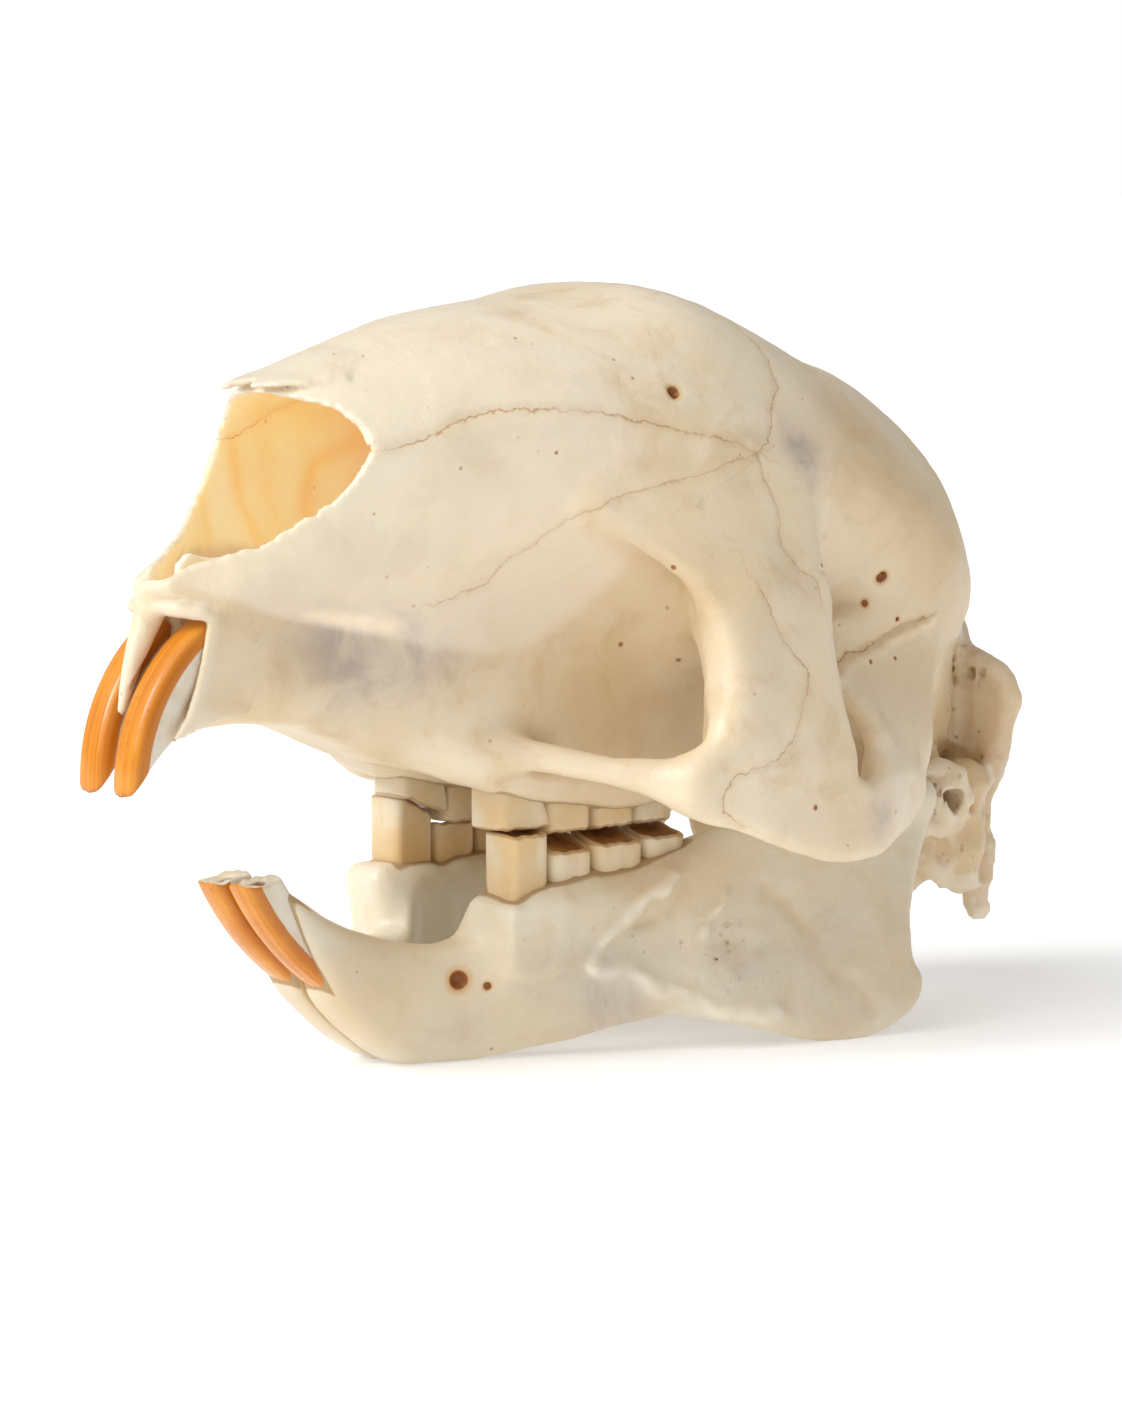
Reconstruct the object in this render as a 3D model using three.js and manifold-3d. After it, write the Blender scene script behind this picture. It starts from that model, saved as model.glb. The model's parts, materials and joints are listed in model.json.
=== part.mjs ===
// A crested porcupine's skull with its lower jaw, resting closed on a table.
// Millimetres, +Z up, snout towards -Y, the skull's left side towards +X.
// The bones are drawn as signed fields, negative inside, then turned into closed faceted solids.

import * as THREE from 'three';
import { LoftGeometry } from 'three/addons/geometries/LoftGeometry.js';
import { mergeVertices } from 'three/addons/utils/BufferGeometryUtils.js';
import Module from 'manifold-3d';

const wasm = await Module();
wasm.setup();

// Driving dimensions
const DATUM = new THREE.Vector3(0, -5.8, -1.4); // moves the drawn frame to the middle of the footprint
const WALL = 2.3; // bone round the nasal chamber
const GAP = 0.3; // clearance between touching pieces
const JOINT_GAP = 0.9; // room between the jaw's knob and the skull, which dry bone leaves
const STEP = 1.4; // spacing of the sampling grid
const CRANIUM_FACES = 3800;
const JAW_FACES = 780;

// Materials
const bone = new THREE.MeshStandardMaterial({ color: 0xe9dcc3, roughness: 0.55, metalness: 0 });
const jawBone = new THREE.MeshStandardMaterial({ color: 0xe6dac2, roughness: 0.55, metalness: 0 });
const orange = new THREE.MeshStandardMaterial({ color: 0xe08a1c, roughness: 0.3, metalness: 0 });
const ivory = new THREE.MeshStandardMaterial({ color: 0xe8dcc0, roughness: 0.4, metalness: 0 });

// Smooth union of two fields over the distance k
function blend(a, b, k) {
  const h = Math.max(k - Math.abs(a - b), 0) / k;
  return Math.min(a, b) - h * h * k * 0.25;
}

// Smooth cut of field b out of field a
const carve = (a, b, k) => -blend(-a, b, k);

// Smooth overlap of two fields
const meet = (a, b, k) => -blend(-a, -b, k);

const length3 = (x, y, z) => Math.sqrt(x * x + y * y + z * z);

// An ellipsoid
function blob(x, y, z, [cx, cy, cz], [rx, ry, rz]) {
  const px = (x - cx) / rx;
  const py = (y - cy) / ry;
  const pz = (z - cz) / rz;
  const near = length3(px, py, pz);
  const slope = length3(px / rx, py / ry, pz / rz);
  return slope > 1e-9 ? (near * (near - 1)) / slope : -Math.min(rx, ry, rz);
}

// A chain of round bars, each point [x, y, z, radius]
function limb(x, y, z, points) {
  let best = Infinity;
  for (let i = 0; i + 1 < points.length; i++) {
    const [ax, ay, az, ar] = points[i];
    const [bx, by, bz, br] = points[i + 1];
    const dx = bx - ax;
    const dy = by - ay;
    const dz = bz - az;
    const along = ((x - ax) * dx + (y - ay) * dy + (z - az) * dz) / (dx * dx + dy * dy + dz * dz);
    const t = Math.min(Math.max(along, 0), 1);
    const far = length3(x - ax - t * dx, y - ay - t * dy, z - az - t * dz);
    best = Math.min(best, far - ar - t * (br - ar));
  }
  return best;
}

// Signed distance from a point to a closed outline of [u, v] points
function outline(u, v, points) {
  let best = Infinity;
  let inside = false;
  for (let i = 0, j = points.length - 1; i < points.length; j = i++) {
    const [ax, ay] = points[j];
    const [bx, by] = points[i];
    const ex = bx - ax;
    const ey = by - ay;
    const t = Math.min(Math.max(((u - ax) * ex + (v - ay) * ey) / (ex * ex + ey * ey), 0), 1);
    const offU = u - ax - t * ex;
    const offV = v - ay - t * ey;
    best = Math.min(best, offU * offU + offV * offV);
    if (by > v !== ay > v && u < ((ax - bx) * (v - by)) / (ay - by) + bx) inside = !inside;
  }
  return inside ? -Math.sqrt(best) : Math.sqrt(best);
}

// Rounds a list of [u, v] points into a closed curve
function rounded(points, each = 3) {
  const corners = points.map(([u, v]) => new THREE.Vector3(u, v, 0));
  const curve = new THREE.CatmullRomCurve3(corners, true, 'centripetal');
  return curve.getPoints(points.length * each).slice(0, -1).map((p) => [p.x, p.y]);
}

// Cubic through the values of the four nearest stations, for any y
function between(stations, y, column) {
  const last = stations.length - 1;
  const at = Math.min(Math.max(y, stations[0].y), stations[last].y);
  let i = 0;
  while (i < last - 1 && stations[i + 1].y < at) i++;
  const a = stations[i];
  const b = stations[i + 1];
  const before = stations[Math.max(i - 1, 0)];
  const after = stations[Math.min(i + 2, last)];
  const span = b.y - a.y;
  const t = (at - a.y) / span;
  const slope = (from, to) => (column(to) - column(from)) / (to.y - from.y);
  const slopeA = slope(i > 0 ? before : a, b);
  const slopeB = slope(a, i + 2 <= last ? after : b);
  const t2 = t * t;
  const t3 = t2 * t;
  return (
    (2 * t3 - 3 * t2 + 1) * column(a) +
    (t3 - 2 * t2 + t) * span * slopeA +
    (3 * t2 - 2 * t3) * column(b) +
    (t3 - t2) * span * slopeB
  );
}

// A skin through outlines drawn at stations along Y; the outline at the last y asked for is kept
function skin(stations, closed) {
  let keptY = NaN;
  let kept = null;
  return (x, y, z) => {
    if (y !== keptY) {
      keptY = y;
      const at = (k, c) => between(stations, y, (s) => s.ring[k][c]);
      const ring = stations[0].ring.map((_, k) => [at(k, 0), at(k, 1)]);
      // an open ring is a half outline, closed by its mirror image
      const mirror = closed ? [] : ring.slice(1, -1).reverse().map(([u, v]) => [-u, v]);
      kept = rounded(ring.concat(mirror));
    }
    return outline(x, z, kept);
  };
}

// Half outlines of the braincase, face and snout, from the middle of the underside round to the
// middle of the roof: each point [x, z]
const BODY = [
  { y: -63, ring: [
    [0, 48], [2, 48], [3.6, 50], [4.2, 55], [4, 60], [3.4, 63], [2.6, 65.5], [1.4, 66.6], [0, 67],
  ] },
  { y: -56, ring: [
    [0, 48.5], [4, 48.5], [6.6, 51.5], [7.4, 57], [6.8, 63], [4.6, 69], [4.0, 73], [2.5, 77], [0, 79],
  ] },
  { y: -47.6, ring: [
    [0, 48.5], [5, 48.5], [8, 52], [9.2, 58], [9.8, 65], [9.9, 72.2], [9.8, 79], [6.5, 84.5], [0, 87.6],
  ] },
  { y: -40.5, ring: [
    [0, 47.5], [5.5, 47.8], [8.6, 51], [10, 57], [12, 66], [14.6, 77.5], [14.8, 83.8], [8.5, 89.4],
    [0, 92.2],
  ] },
  { y: -36, ring: [
    [0, 46], [6, 46.3], [9, 50], [10.6, 57], [13, 67], [16, 78], [16.3, 84.2], [9.8, 91], [0, 94.2],
  ] },
  { y: -25, ring: [
    [0, 41.5], [6.5, 42], [9.5, 46], [11.5, 55], [14.5, 66], [19, 77], [19.8, 85.7], [12.5, 94],
    [0, 97.6],
  ] },
  { y: -14, ring: [
    [0, 41], [5.5, 38.6], [13.8, 38.6], [14.2, 52], [15, 65], [22, 76.5], [23.2, 86.5], [14.5, 96.4],
    [0, 100.2],
  ] },
  { y: 0, ring: [
    [0, 41.5], [4.6, 36], [14.8, 35.4], [15.2, 50], [17.6, 63], [26, 74.5], [26.6, 86.5], [16, 98.2],
    [0, 101.8],
  ] },
  { y: 15, ring: [
    [0, 41.5], [5, 35], [14.8, 34.6], [16, 48], [21, 57], [29.6, 69], [29.2, 84], [18, 100], [0, 103.4],
  ] },
  { y: 25, ring: [
    [0, 42], [5.5, 38], [11, 38.5], [16.5, 48], [20.5, 58], [28.3, 69.5], [29.4, 82], [19.2, 97],
    [0, 101.8],
  ] },
  { y: 35, ring: [
    [0, 43], [5, 41], [12, 42], [18, 50], [22, 61], [27.5, 70], [29, 80], [18.8, 92.8], [0, 98.4],
  ] },
  { y: 47, ring: [
    [0, 38], [8, 37], [17, 41], [22, 50], [25, 59], [28, 67], [27.8, 75], [18.2, 87.2], [0, 93.4],
  ] },
  { y: 58, ring: [
    [0, 37], [8, 34], [17, 36], [22, 45], [24.6, 55], [26.2, 63], [25, 71], [16.8, 82], [0, 90],
  ] },
  { y: 66, ring: [
    [0, 37], [8, 34], [16, 36], [18.5, 44], [19.6, 52], [22.6, 60], [21, 67.5], [14.5, 77.5], [0, 84],
  ] },
  { y: 72, ring: [
    [0, 38], [8, 36], [14, 38], [15, 44], [15, 52], [16.5, 59], [15, 64.5], [11, 71], [0, 75],
  ] },
];
const body = skin(BODY, false);

// Side view of everything in front of the nasal opening's edge: each point [y, z]
const OPENING = [
  [-90, 67.4], [-61, 67.2], [-58.5, 68], [-51.9, 70.5], [-47.6, 72.2], [-43.8, 74.9], [-40.9, 77.3],
  [-38.7, 79.8], [-36.6, 83.5], [-36.5, 86], [-38, 88.4], [-42.7, 90.4], [-43.4, 91.2], [-43.4, 110],
  [-90, 110],
];

// Side view of the cheek plate and the cheek bone behind it
const CHEEK = [
  [-6, 76], [-1.4, 71], [5.5, 65.6], [9, 57.8], [8.9, 52.6], [6.3, 46.3], [2.7, 42.6], [0.3, 37.6],
  [3.7, 34.5], [9, 33.1], [18, 29.7], [26.8, 27.6], [36.9, 28.6], [43.5, 31], [46.6, 34.6], [44, 37.6],
  [36, 38.2], [31.4, 37.4], [29, 38.6], [28.8, 41], [27.8, 45], [27.2, 51.4], [27.6, 57], [29.4, 63],
  [27, 71], [20, 80], [2, 82],
];
const cheekSide = rounded(CHEEK, 2);

// How far out the cheek bone's outer face stands, and how far it falls back upwards and at its ends
const CHEEK_FACE = { out: 38.6, up: 10.5, front: 3.6, back: 6.5, thickness: 3.8 };

const cheekFace = (y, z) => {
  const up = THREE.MathUtils.smoothstep(z, 40, 84);
  const front = 1 - THREE.MathUtils.smoothstep(y, -6, 12);
  const back = THREE.MathUtils.smoothstep(y, 30, 50);
  return CHEEK_FACE.out - CHEEK_FACE.up * up - CHEEK_FACE.front * front - CHEEK_FACE.back * back;
};

// A plate between a face and its inner side, with its edges rounded off
function plate(side, depth, thickness, round) {
  return meet(side, Math.abs(depth + thickness / 2) - thickness / 2, round);
}

function cheek(x, y, z) {
  const side = outline(y, z, cheekSide) - 0.5;
  return plate(side, x - cheekFace(y, z), CHEEK_FACE.thickness, 2.4);
}

// Rear view of the plate behind the ears, with the process that hangs from it: each point [x, z]
const REAR = rounded([
  [0, 62], [9, 60], [13, 56], [17, 52.6], [21, 50.2], [23.4, 47.2], [24, 43.5], [22.6, 38], [21.2, 31],
  [20.8, 24], [20.6, 17.4], [19.4, 13.6], [17.6, 17], [15, 25], [11, 31], [6, 34], [0, 35],
], 2);

const REAR_FACE = { y: 73.3, swept: 2.6, thickness: 3.6 };

function rear(x, y, z) {
  const swept = THREE.MathUtils.smoothstep(x, 14, 24) * THREE.MathUtils.smoothstep(z, 20, 45);
  const face = REAR_FACE.y + REAR_FACE.swept * swept;
  return plate(outline(x, z, REAR), y - face, REAR_FACE.thickness, 2);
}

// Side view of the root of the cheek arch behind the eye, sloping out from the braincase
const TEMPLE = rounded([
  [28, 56], [34, 49], [36.2, 43.4], [34.6, 38], [38, 31.6], [44.5, 31.6], [48.4, 35.4], [50.6, 41.2],
  [52.4, 46.4], [57, 53], [54, 59], [40, 59],
], 2);

const TEMPLE_FACE = { front: 37.4, back: 31.8, top: 25.4, thickness: 4.6 };

function temple(x, y, z) {
  const { front, back, top, thickness } = TEMPLE_FACE;
  const foot = THREE.MathUtils.lerp(front, back, THREE.MathUtils.smoothstep(y, 30, 50));
  const face = THREE.MathUtils.lerp(foot, top, THREE.MathUtils.smoothstep(z, 39, 57));
  return plate(outline(y, z, TEMPLE), x - face, thickness, 2.4);
}

// Side view of what is cut away in front of the upper incisors' sockets: each point [y, z]
const MUZZLE = [
  [-90, 70], [-61.4, 70], [-61.4, 67.6], [-62, 65.8], [-59.6, 63.8], [-56.4, 62.6], [-55.6, 61],
  [-56.5, 57.4], [-58.6, 51.5], [-60.8, 46.4], [-61.5, 40], [-90, 40],
];

// Chains of round bars along the bones: each point [x, y, z, radius]
const NOSE_SPINE = [[0, -59.6, 64, 2.2], [0, -62.8, 57, 1.3], [0, -64.6, 51, 0.6]];
const CHEEK_BAR = [[11, -18, 42.5, 2.6], [18, -11, 42.8, 1.9], [26, -4.5, 40.8, 1.8], [33, 2.5, 39.5, 2.8]];
const CHEEK_STRUT = [[15, 17, 59, 6], [27, 17.5, 63, 5.5]];
const CHEEK_RIM = [[32, 10, 43, 2.8], [31.6, 11.5, 52, 3.4], [28, 14, 62, 5]];
const EAR_TUBE = [[17, 60, 31, 5], [22.4, 60.4, 32, 3.6]];
const EAR_HOLE = [[19, 60, 31, 1.9], [40, 60.8, 33.5, 2.4]];
const HANGING_PROCESS = [[20.5, 67, 33, 3.4], [20.5, 66.5, 24, 3.2]];
const PALATE_WING = [[7, 20, 38, 2.6], [7.5, 30, 34.5, 1.5], [9, 44, 35, 1.5]];

// The passages through the bone: behind the cheek plate, and from the great hole into the braincase
const CHEEK_PASSAGE = [[24.5, 0, 47, 4.2], [23.5, 8, 47.3, 4.7], [21, 18, 48, 5], [23, 32, 50, 6.5]];
const GREAT_HOLE = [[0, 55, 50, 7], [0, 90, 42, 7]];

// Rounded masses and hollows: middle and half sizes
const EAR_CHAMBER = [[14.5, 59, 28.5], [7.5, 9.5, 11]];
const NECK_KNOB = [[6.5, 74.5, 38], [4, 4.5, 6.5]];
const CHEEK_HOLLOW = [[30, -12, 57], [13.5, 20.5, 15]];
const NASAL_HOLLOW = [[0, -30, 77], [40, 42, 26]];
const BRAIN_HOLLOW = [[0, 47, 63], [20, 23, 23]];

// Side lines that slope along the skull: the back of the head, and the floor of the nasal chamber
const backOfHead = (y, z) => y - 74 + 0.12 * (z - 55);
const nasalFloor = (y, z) => 64.5 - 0.25 * (y + 50) - z;

// How far the muzzle's front edge is set back to the side, above the incisors' sockets
const MUZZLE_SET_BACK = 0.75;

function cranium(x, y, z) {
  const skinned = body(x, y, z);
  const cheekPlate = cheek(x, y, z);
  const bar = limb(x, y, z, CHEEK_BAR);
  let d = meet(skinned, backOfHead(y, z), 5);
  const set = MUZZLE_SET_BACK * Math.max(x - 0.8, 0) * THREE.MathUtils.smoothstep(z, 61.5, 64.5);
  d = Math.max(d, -outline(y - set, z, MUZZLE));
  d = blend(d, limb(x, y, z, NOSE_SPINE), 1.5);
  d = blend(d, cheekPlate, 5);
  d = blend(d, bar, 4);
  d = blend(d, limb(x, y, z, CHEEK_STRUT), 5);
  // the hollow in front of the cheek plate, and the passage behind it
  d = carve(d, blob(x, y, z, ...CHEEK_HOLLOW), 4);
  d = Math.min(d, blend(cheekPlate, bar, 3));
  d = blend(d, limb(x, y, z, CHEEK_RIM), 4);
  d = carve(d, limb(x, y, z, CHEEK_PASSAGE), 1.6);
  d = blend(d, temple(x, y, z), 3);
  // ears, rear plate, the knobs beside the great hole, and the wings behind the palate
  d = blend(d, rear(x, y, z), 3);
  d = blend(d, blob(x, y, z, ...EAR_CHAMBER), 3);
  d = blend(d, limb(x, y, z, EAR_TUBE), 2);
  d = blend(d, limb(x, y, z, HANGING_PROCESS), 2);
  d = blend(d, blob(x, y, z, ...NECK_KNOB), 2);
  d = blend(d, limb(x, y, z, PALATE_WING), 3);
  // nasal chamber and its opening
  const lined = meet(skinned + WALL, blob(x, y, z, ...NASAL_HOLLOW), 4);
  d = carve(d, meet(lined, nasalFloor(y, z), 3), 1);
  d = Math.max(d, -outline(y, z, OPENING));
  // braincase, open through the great hole at the back, and the ear holes
  const brain = blend(blob(x, y, z, ...BRAIN_HOLLOW), limb(x, y, z, GREAT_HOLE), 5);
  d = carve(d, brain, 2);
  d = carve(d, limb(x, y, z, EAR_HOLE), 0.6);
  // room for the jaw's joint
  const nearJoint = x > 14 && y > 28 && z < 44;
  return nearJoint ? Math.max(d, JOINT_GAP - jaw(x, y, z)) : d;
}

// Outlines across the left half of the lower jaw at stations along Y
const JAW = [
  { y: -44, ring: [
    [3, 20], [5.5, 20.5], [6.3, 22.5], [6.3, 25], [6, 27.2], [3.5, 28.6], [0.6, 28], [0.15, 25.5],
    [0.15, 23], [0.6, 20.5],
  ] },
  { y: -35, ring: [
    [2.5, 9.6], [5.6, 10.6], [7.4, 14], [7.5, 17.5], [6.8, 20.5], [4, 23], [0.8, 22.4], [0.15, 19],
    [0.15, 14], [0.5, 10],
  ] },
  { y: -25, ring: [
    [2, 1.6], [5.2, 2.8], [7.6, 8], [8.2, 12], [7.4, 16.5], [4.8, 19.2], [1, 18], [0.15, 14], [0.15, 8],
    [0.3, 2.2],
  ] },
  { y: -16, ring: [
    [4, 0.4], [7.5, 2.2], [10, 8], [10.6, 13], [9.5, 17], [6.5, 18.4], [3, 17], [1, 12], [0.15, 7],
    [0.8, 0.9],
  ] },
  { y: -9, ring: [
    [8.5, 1.2], [11, 3.6], [13, 10], [14, 16], [16, 22], [12, 25.6], [7.4, 23.6], [6.3, 16], [4.5, 9],
    [5, 3.3],
  ] },
  { y: 0, ring: [
    [12, 2.6], [14.3, 4.5], [15.5, 10], [15.8, 16], [17.2, 23], [12.5, 27.4], [7, 25.5], [7.2, 17],
    [8.5, 9], [9.8, 4],
  ] },
  { y: 10, ring: [
    [18.5, 5], [20.5, 7], [19.5, 12], [18, 17], [17.6, 24], [13, 28], [7.2, 26], [8.2, 18], [11.5, 11],
    [15, 6.5],
  ] },
  { y: 20, ring: [
    [24.5, 4], [26.3, 6], [25, 12], [22.5, 19], [20.5, 26], [17, 30.5], [11, 27.5], [12.5, 19],
    [17.5, 11.5], [22.3, 5.5],
  ] },
  { y: 32, ring: [
    [27.3, 0.4], [28.9, 2.6], [28, 11], [26, 19], [24.8, 27], [23.5, 35], [21.5, 28], [22, 19],
    [24, 11], [25.7, 2.6],
  ] },
  { y: 45, ring: [
    [29.8, 1], [31.2, 5], [30, 12], [28, 20], [26.5, 28], [25.2, 36], [23.3, 29], [24.5, 20],
    [26.8, 12], [28.2, 5.5],
  ] },
  { y: 56, ring: [
    [29.8, 6], [31, 9], [30, 14], [28, 20], [26.9, 28], [25.6, 35], [23.7, 29], [24.5, 20], [26.8, 14],
    [28.2, 9],
  ] },
];
const jawBody = skin(JAW, true);

// Side view of the left half of the lower jaw
const JAW_SIDE = rounded([
  [-43.6, 28.2], [-38.1, 24.9], [-33.5, 21.7], [-27.2, 19.4], [-19.4, 17.8], [-14, 18], [-13.1, 20],
  [-12.9, 23.6], [-10.7, 24.6], [-5, 24.9], [-2.6, 26.3], [2.5, 26.5], [9.3, 26.8], [18, 27.9],
  [22.5, 30.5], [30, 33], [40, 33], [47, 35.4], [53.6, 34.2], [55.2, 30.5], [52.3, 24.2], [49.5, 17.7],
  [48, 11.7], [49.1, 8.5], [47.4, 4.6], [43.2, 2.2], [37.5, 0.6], [32.8, 0.8], [26.2, 2.6], [19.7, 4.4],
  [11.6, 5.9], [4.4, 4.2], [-1, 2.8], [-9, 1.6], [-16, 0.5], [-22.1, 1.2], [-29.9, 6], [-35.4, 11.2],
  [-36.6, 14], [-40.4, 20.5],
], 2);

// The knob of the jaw's joint
const JAW_KNOB = [[24.8, 46, 33.4, 2.3], [25.2, 53, 33, 2.6]];

function jaw(x, y, z) {
  const flank = meet(jawBody(x, y, z), outline(y, z, JAW_SIDE), 2);
  return Math.max(blend(flank, limb(x, y, z, JAW_KNOB), 2), GAP / 2 - x);
}

// The even orders of a tetrahedron's four corners, which keep its handedness
const EVEN_ORDERS = [
  [0, 1, 2, 3], [0, 2, 3, 1], [0, 3, 1, 2], [1, 0, 3, 2], [1, 2, 0, 3], [1, 3, 2, 0],
  [2, 0, 1, 3], [2, 1, 3, 0], [2, 3, 0, 1], [3, 0, 2, 1], [3, 1, 0, 2], [3, 2, 1, 0],
];

// Six tetrahedra that fill a cube; a corner's number is x + 2y + 4z
const TETRAHEDRA = [[0, 1, 3, 7], [0, 3, 2, 7], [0, 2, 6, 7], [0, 6, 4, 7], [0, 4, 5, 7], [0, 5, 1, 7]];

// Turns a field into a closed surface over a grid of cubes, each cut into tetrahedra
function surface(field, low, high, step, mirrored) {
  const [nx, ny, nz] = low.map((v, a) => Math.ceil((high[a] - v) / step) + 1);
  const start = [nx, ny, nz].map((n, a) => (low[a] + high[a] - (n - 1) * step) / 2);
  const index = (i, j, k) => (j * nz + k) * nx + i;
  const values = new Float32Array(nx * ny * nz);
  for (let j = 0; j < ny; j++) {
    for (let k = 0; k < nz; k++) {
      for (let i = nx - 1; i >= 0; i--) {
        const x = start[0] + i * step;
        values[index(i, j, k)] =
          mirrored && x < 0
            ? values[index(nx - 1 - i, j, k)]
            : field(x, start[1] + j * step, start[2] + k * step);
      }
    }
  }
  const offsets = [0, 1, 2, 3, 4, 5, 6, 7].map((c) => index(c & 1, (c >> 1) & 1, c >> 2));
  const made = new Int32Array(values.length * 8).fill(-1);
  const points = [];
  const faces = [];
  // the point where the surface crosses the edge between two corners of the cube at i, j, k
  const crossing = (base, i, j, k, one, other) => {
    const [a, b] = one < other ? [one, other] : [other, one];
    const from = values[base + offsets[a]];
    const to = values[base + offsets[b]];
    const key = (base + offsets[a]) * 8 + (a ^ b);
    if (made[key] < 0) {
      const t = THREE.MathUtils.clamp(from / (from - to), 0.03, 0.97);
      const along = (bit) => ((a & bit) + t * ((b & bit) - (a & bit))) / bit;
      made[key] = points.length / 3;
      points.push(
        start[0] + (i + along(1)) * step,
        start[1] + (j + along(2)) * step,
        start[2] + (k + along(4)) * step,
      );
    }
    return made[key];
  };
  for (let j = 0; j + 1 < ny; j++) {
    for (let k = 0; k + 1 < nz; k++) {
      for (let i = 0; i + 1 < nx; i++) {
        const base = index(i, j, k);
        const inside = offsets.map((o) => values[base + o] < 0);
        if (inside.every(Boolean) || !inside.some(Boolean)) continue;
        for (const tetra of TETRAHEDRA) {
          const inner = tetra.filter((c) => inside[c]).length;
          if (inner === 0 || inner === 4) continue;
          // an order with the inner corners first
          const order = EVEN_ORDERS.find((o) => o.every((n, place) => inside[tetra[n]] === place < inner));
          const [p, q, r, s] = order.map((n) => tetra[n]);
          const at = (one, other) => crossing(base, i, j, k, one, other);
          if (inner === 1) faces.push([at(p, q), at(p, r), at(p, s)]);
          if (inner === 3) faces.push([at(s, p), at(s, q), at(s, r)]);
          if (inner === 2) {
            faces.push([at(p, r), at(p, s), at(q, s)]);
            faces.push([at(p, r), at(q, s), at(q, r)]);
          }
        }
      }
    }
  }
  return { points, faces };
}

// Joins the ends of short or flat edges, least change of form first, until few enough faces are left
function simplified({ points, faces }, goal) {
  const count = points.length / 3;
  const facesOf = Array.from({ length: count }, () => new Set());
  faces.forEach((face, f) => face.forEach((v) => facesOf[v].add(f)));
  const point = (v) => new THREE.Vector3().fromArray(points, v * 3);
  const cross = (a, b, c) => b.clone().sub(a).cross(c.clone().sub(a));

  // each vertex's sum of squared distances to the planes of its faces, as ten numbers
  const quadrics = Array.from({ length: count }, () => new Float64Array(10));
  for (const face of faces) {
    const [a, b, c] = face.map(point);
    const normal = cross(a, b, c);
    const area = normal.length();
    normal.divideScalar(area || 1);
    const { x, y, z } = normal;
    const w = -normal.dot(a);
    const terms = [x * x, x * y, x * z, x * w, y * y, y * z, y * w, z * z, z * w, w * w];
    face.forEach((v) => terms.forEach((term, n) => { quadrics[v][n] += term * area; }));
  }
  const error = (q, p) =>
    q[0] * p.x * p.x + 2 * q[1] * p.x * p.y + 2 * q[2] * p.x * p.z + 2 * q[3] * p.x +
    q[4] * p.y * p.y + 2 * q[5] * p.y * p.z + 2 * q[6] * p.y + q[7] * p.z * p.z + 2 * q[8] * p.z + q[9];

  // the best place for a joined vertex, and what it costs
  const joined = (a, b) => {
    const q = quadrics[a].map((v, n) => v + quadrics[b][n]);
    const ends = [point(a), point(b)];
    const middle = ends[0].clone().lerp(ends[1], 0.5);
    const matrix = new THREE.Matrix3(q[0], q[1], q[2], q[1], q[4], q[5], q[2], q[5], q[7]);
    const places = [middle, ...ends];
    if (Math.abs(matrix.determinant()) > 1e-3) {
      const best = new THREE.Vector3(-q[3], -q[6], -q[8]).applyMatrix3(matrix.invert());
      if (best.distanceTo(middle) < 1.5 * ends[0].distanceTo(ends[1])) places.push(best);
    }
    const length = ends[0].distanceToSquared(ends[1]);
    return places
      .map((place) => ({ place, cost: Math.max(error(q, place), 0) + 1e-3 * length }))
      .reduce((least, next) => (next.cost < least.cost ? next : least));
  };

  // a binary heap of edges, cheapest on top; an edge is stale once either end has changed
  const version = new Int32Array(count);
  const heap = [];
  const push = (a, b) => {
    const { cost, place } = joined(a, b);
    heap.push({ a, b, cost, place, stamp: version[a] + version[b] });
    let n = heap.length - 1;
    while (n > 0) {
      const up = (n - 1) >> 1;
      if (heap[up].cost <= heap[n].cost) break;
      [heap[up], heap[n]] = [heap[n], heap[up]];
      n = up;
    }
  };
  const pop = () => {
    const top = heap[0];
    const last = heap.pop();
    if (heap.length === 0) return top;
    heap[0] = last;
    let n = 0;
    for (;;) {
      let least = n;
      for (const down of [2 * n + 1, 2 * n + 2]) {
        if (down < heap.length && heap[down].cost < heap[least].cost) least = down;
      }
      if (least === n) return top;
      [heap[least], heap[n]] = [heap[n], heap[least]];
      n = least;
    }
  };
  const around = (v) => new Set([...facesOf[v]].flatMap((f) => faces[f]).filter((w) => w !== v));
  for (let a = 0; a < count; a++) for (const b of around(a)) if (a < b) push(a, b);

  // whether moving v to a place turns any of its faces over, leaving out faces that also hold other
  const turnsOver = (v, other, place) =>
    [...facesOf[v]].some((f) => {
      if (faces[f].includes(other)) return false;
      const before = faces[f].map(point);
      const after = faces[f].map((w, n) => (w === v ? place : before[n]));
      const was = cross(...before);
      const is = cross(...after);
      const longest = Math.max(...after.map((p, n) => p.distanceToSquared(after[(n + 1) % 3])));
      const sliver = is.length() < 0.1 * longest && is.length() < was.length();
      return sliver || was.dot(is) < 0.5 * was.length() * is.length();
    });

  let left = faces.length;
  while (left > goal && heap.length > 0) {
    const { a, b, place, stamp } = pop();
    if (!facesOf[a] || !facesOf[b] || stamp !== version[a] + version[b]) continue;
    const shared = [...around(a)].filter((v) => around(b).has(v));
    if (shared.length !== 2 || turnsOver(a, b, place) || turnsOver(b, a, place)) continue;
    place.toArray(points, a * 3);
    quadrics[b].forEach((v, n) => { quadrics[a][n] += v; });
    for (const f of facesOf[b]) {
      if (faces[f].includes(a)) {
        faces[f].forEach((v) => v !== b && facesOf[v].delete(f));
        faces[f] = null;
        left--;
      } else {
        faces[f] = faces[f].map((v) => (v === b ? a : v));
        facesOf[a].add(f);
      }
    }
    facesOf[b] = null;
    version[a] += version[b] + 1;
    for (const v of around(a)) push(a, v);
  }
  const geometry = new THREE.BufferGeometry();
  geometry.setAttribute('position', new THREE.Float32BufferAttribute(points, 3));
  geometry.setIndex(faces.filter(Boolean).flat());
  return mergeVertices(geometry.toNonIndexed());
}

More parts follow.
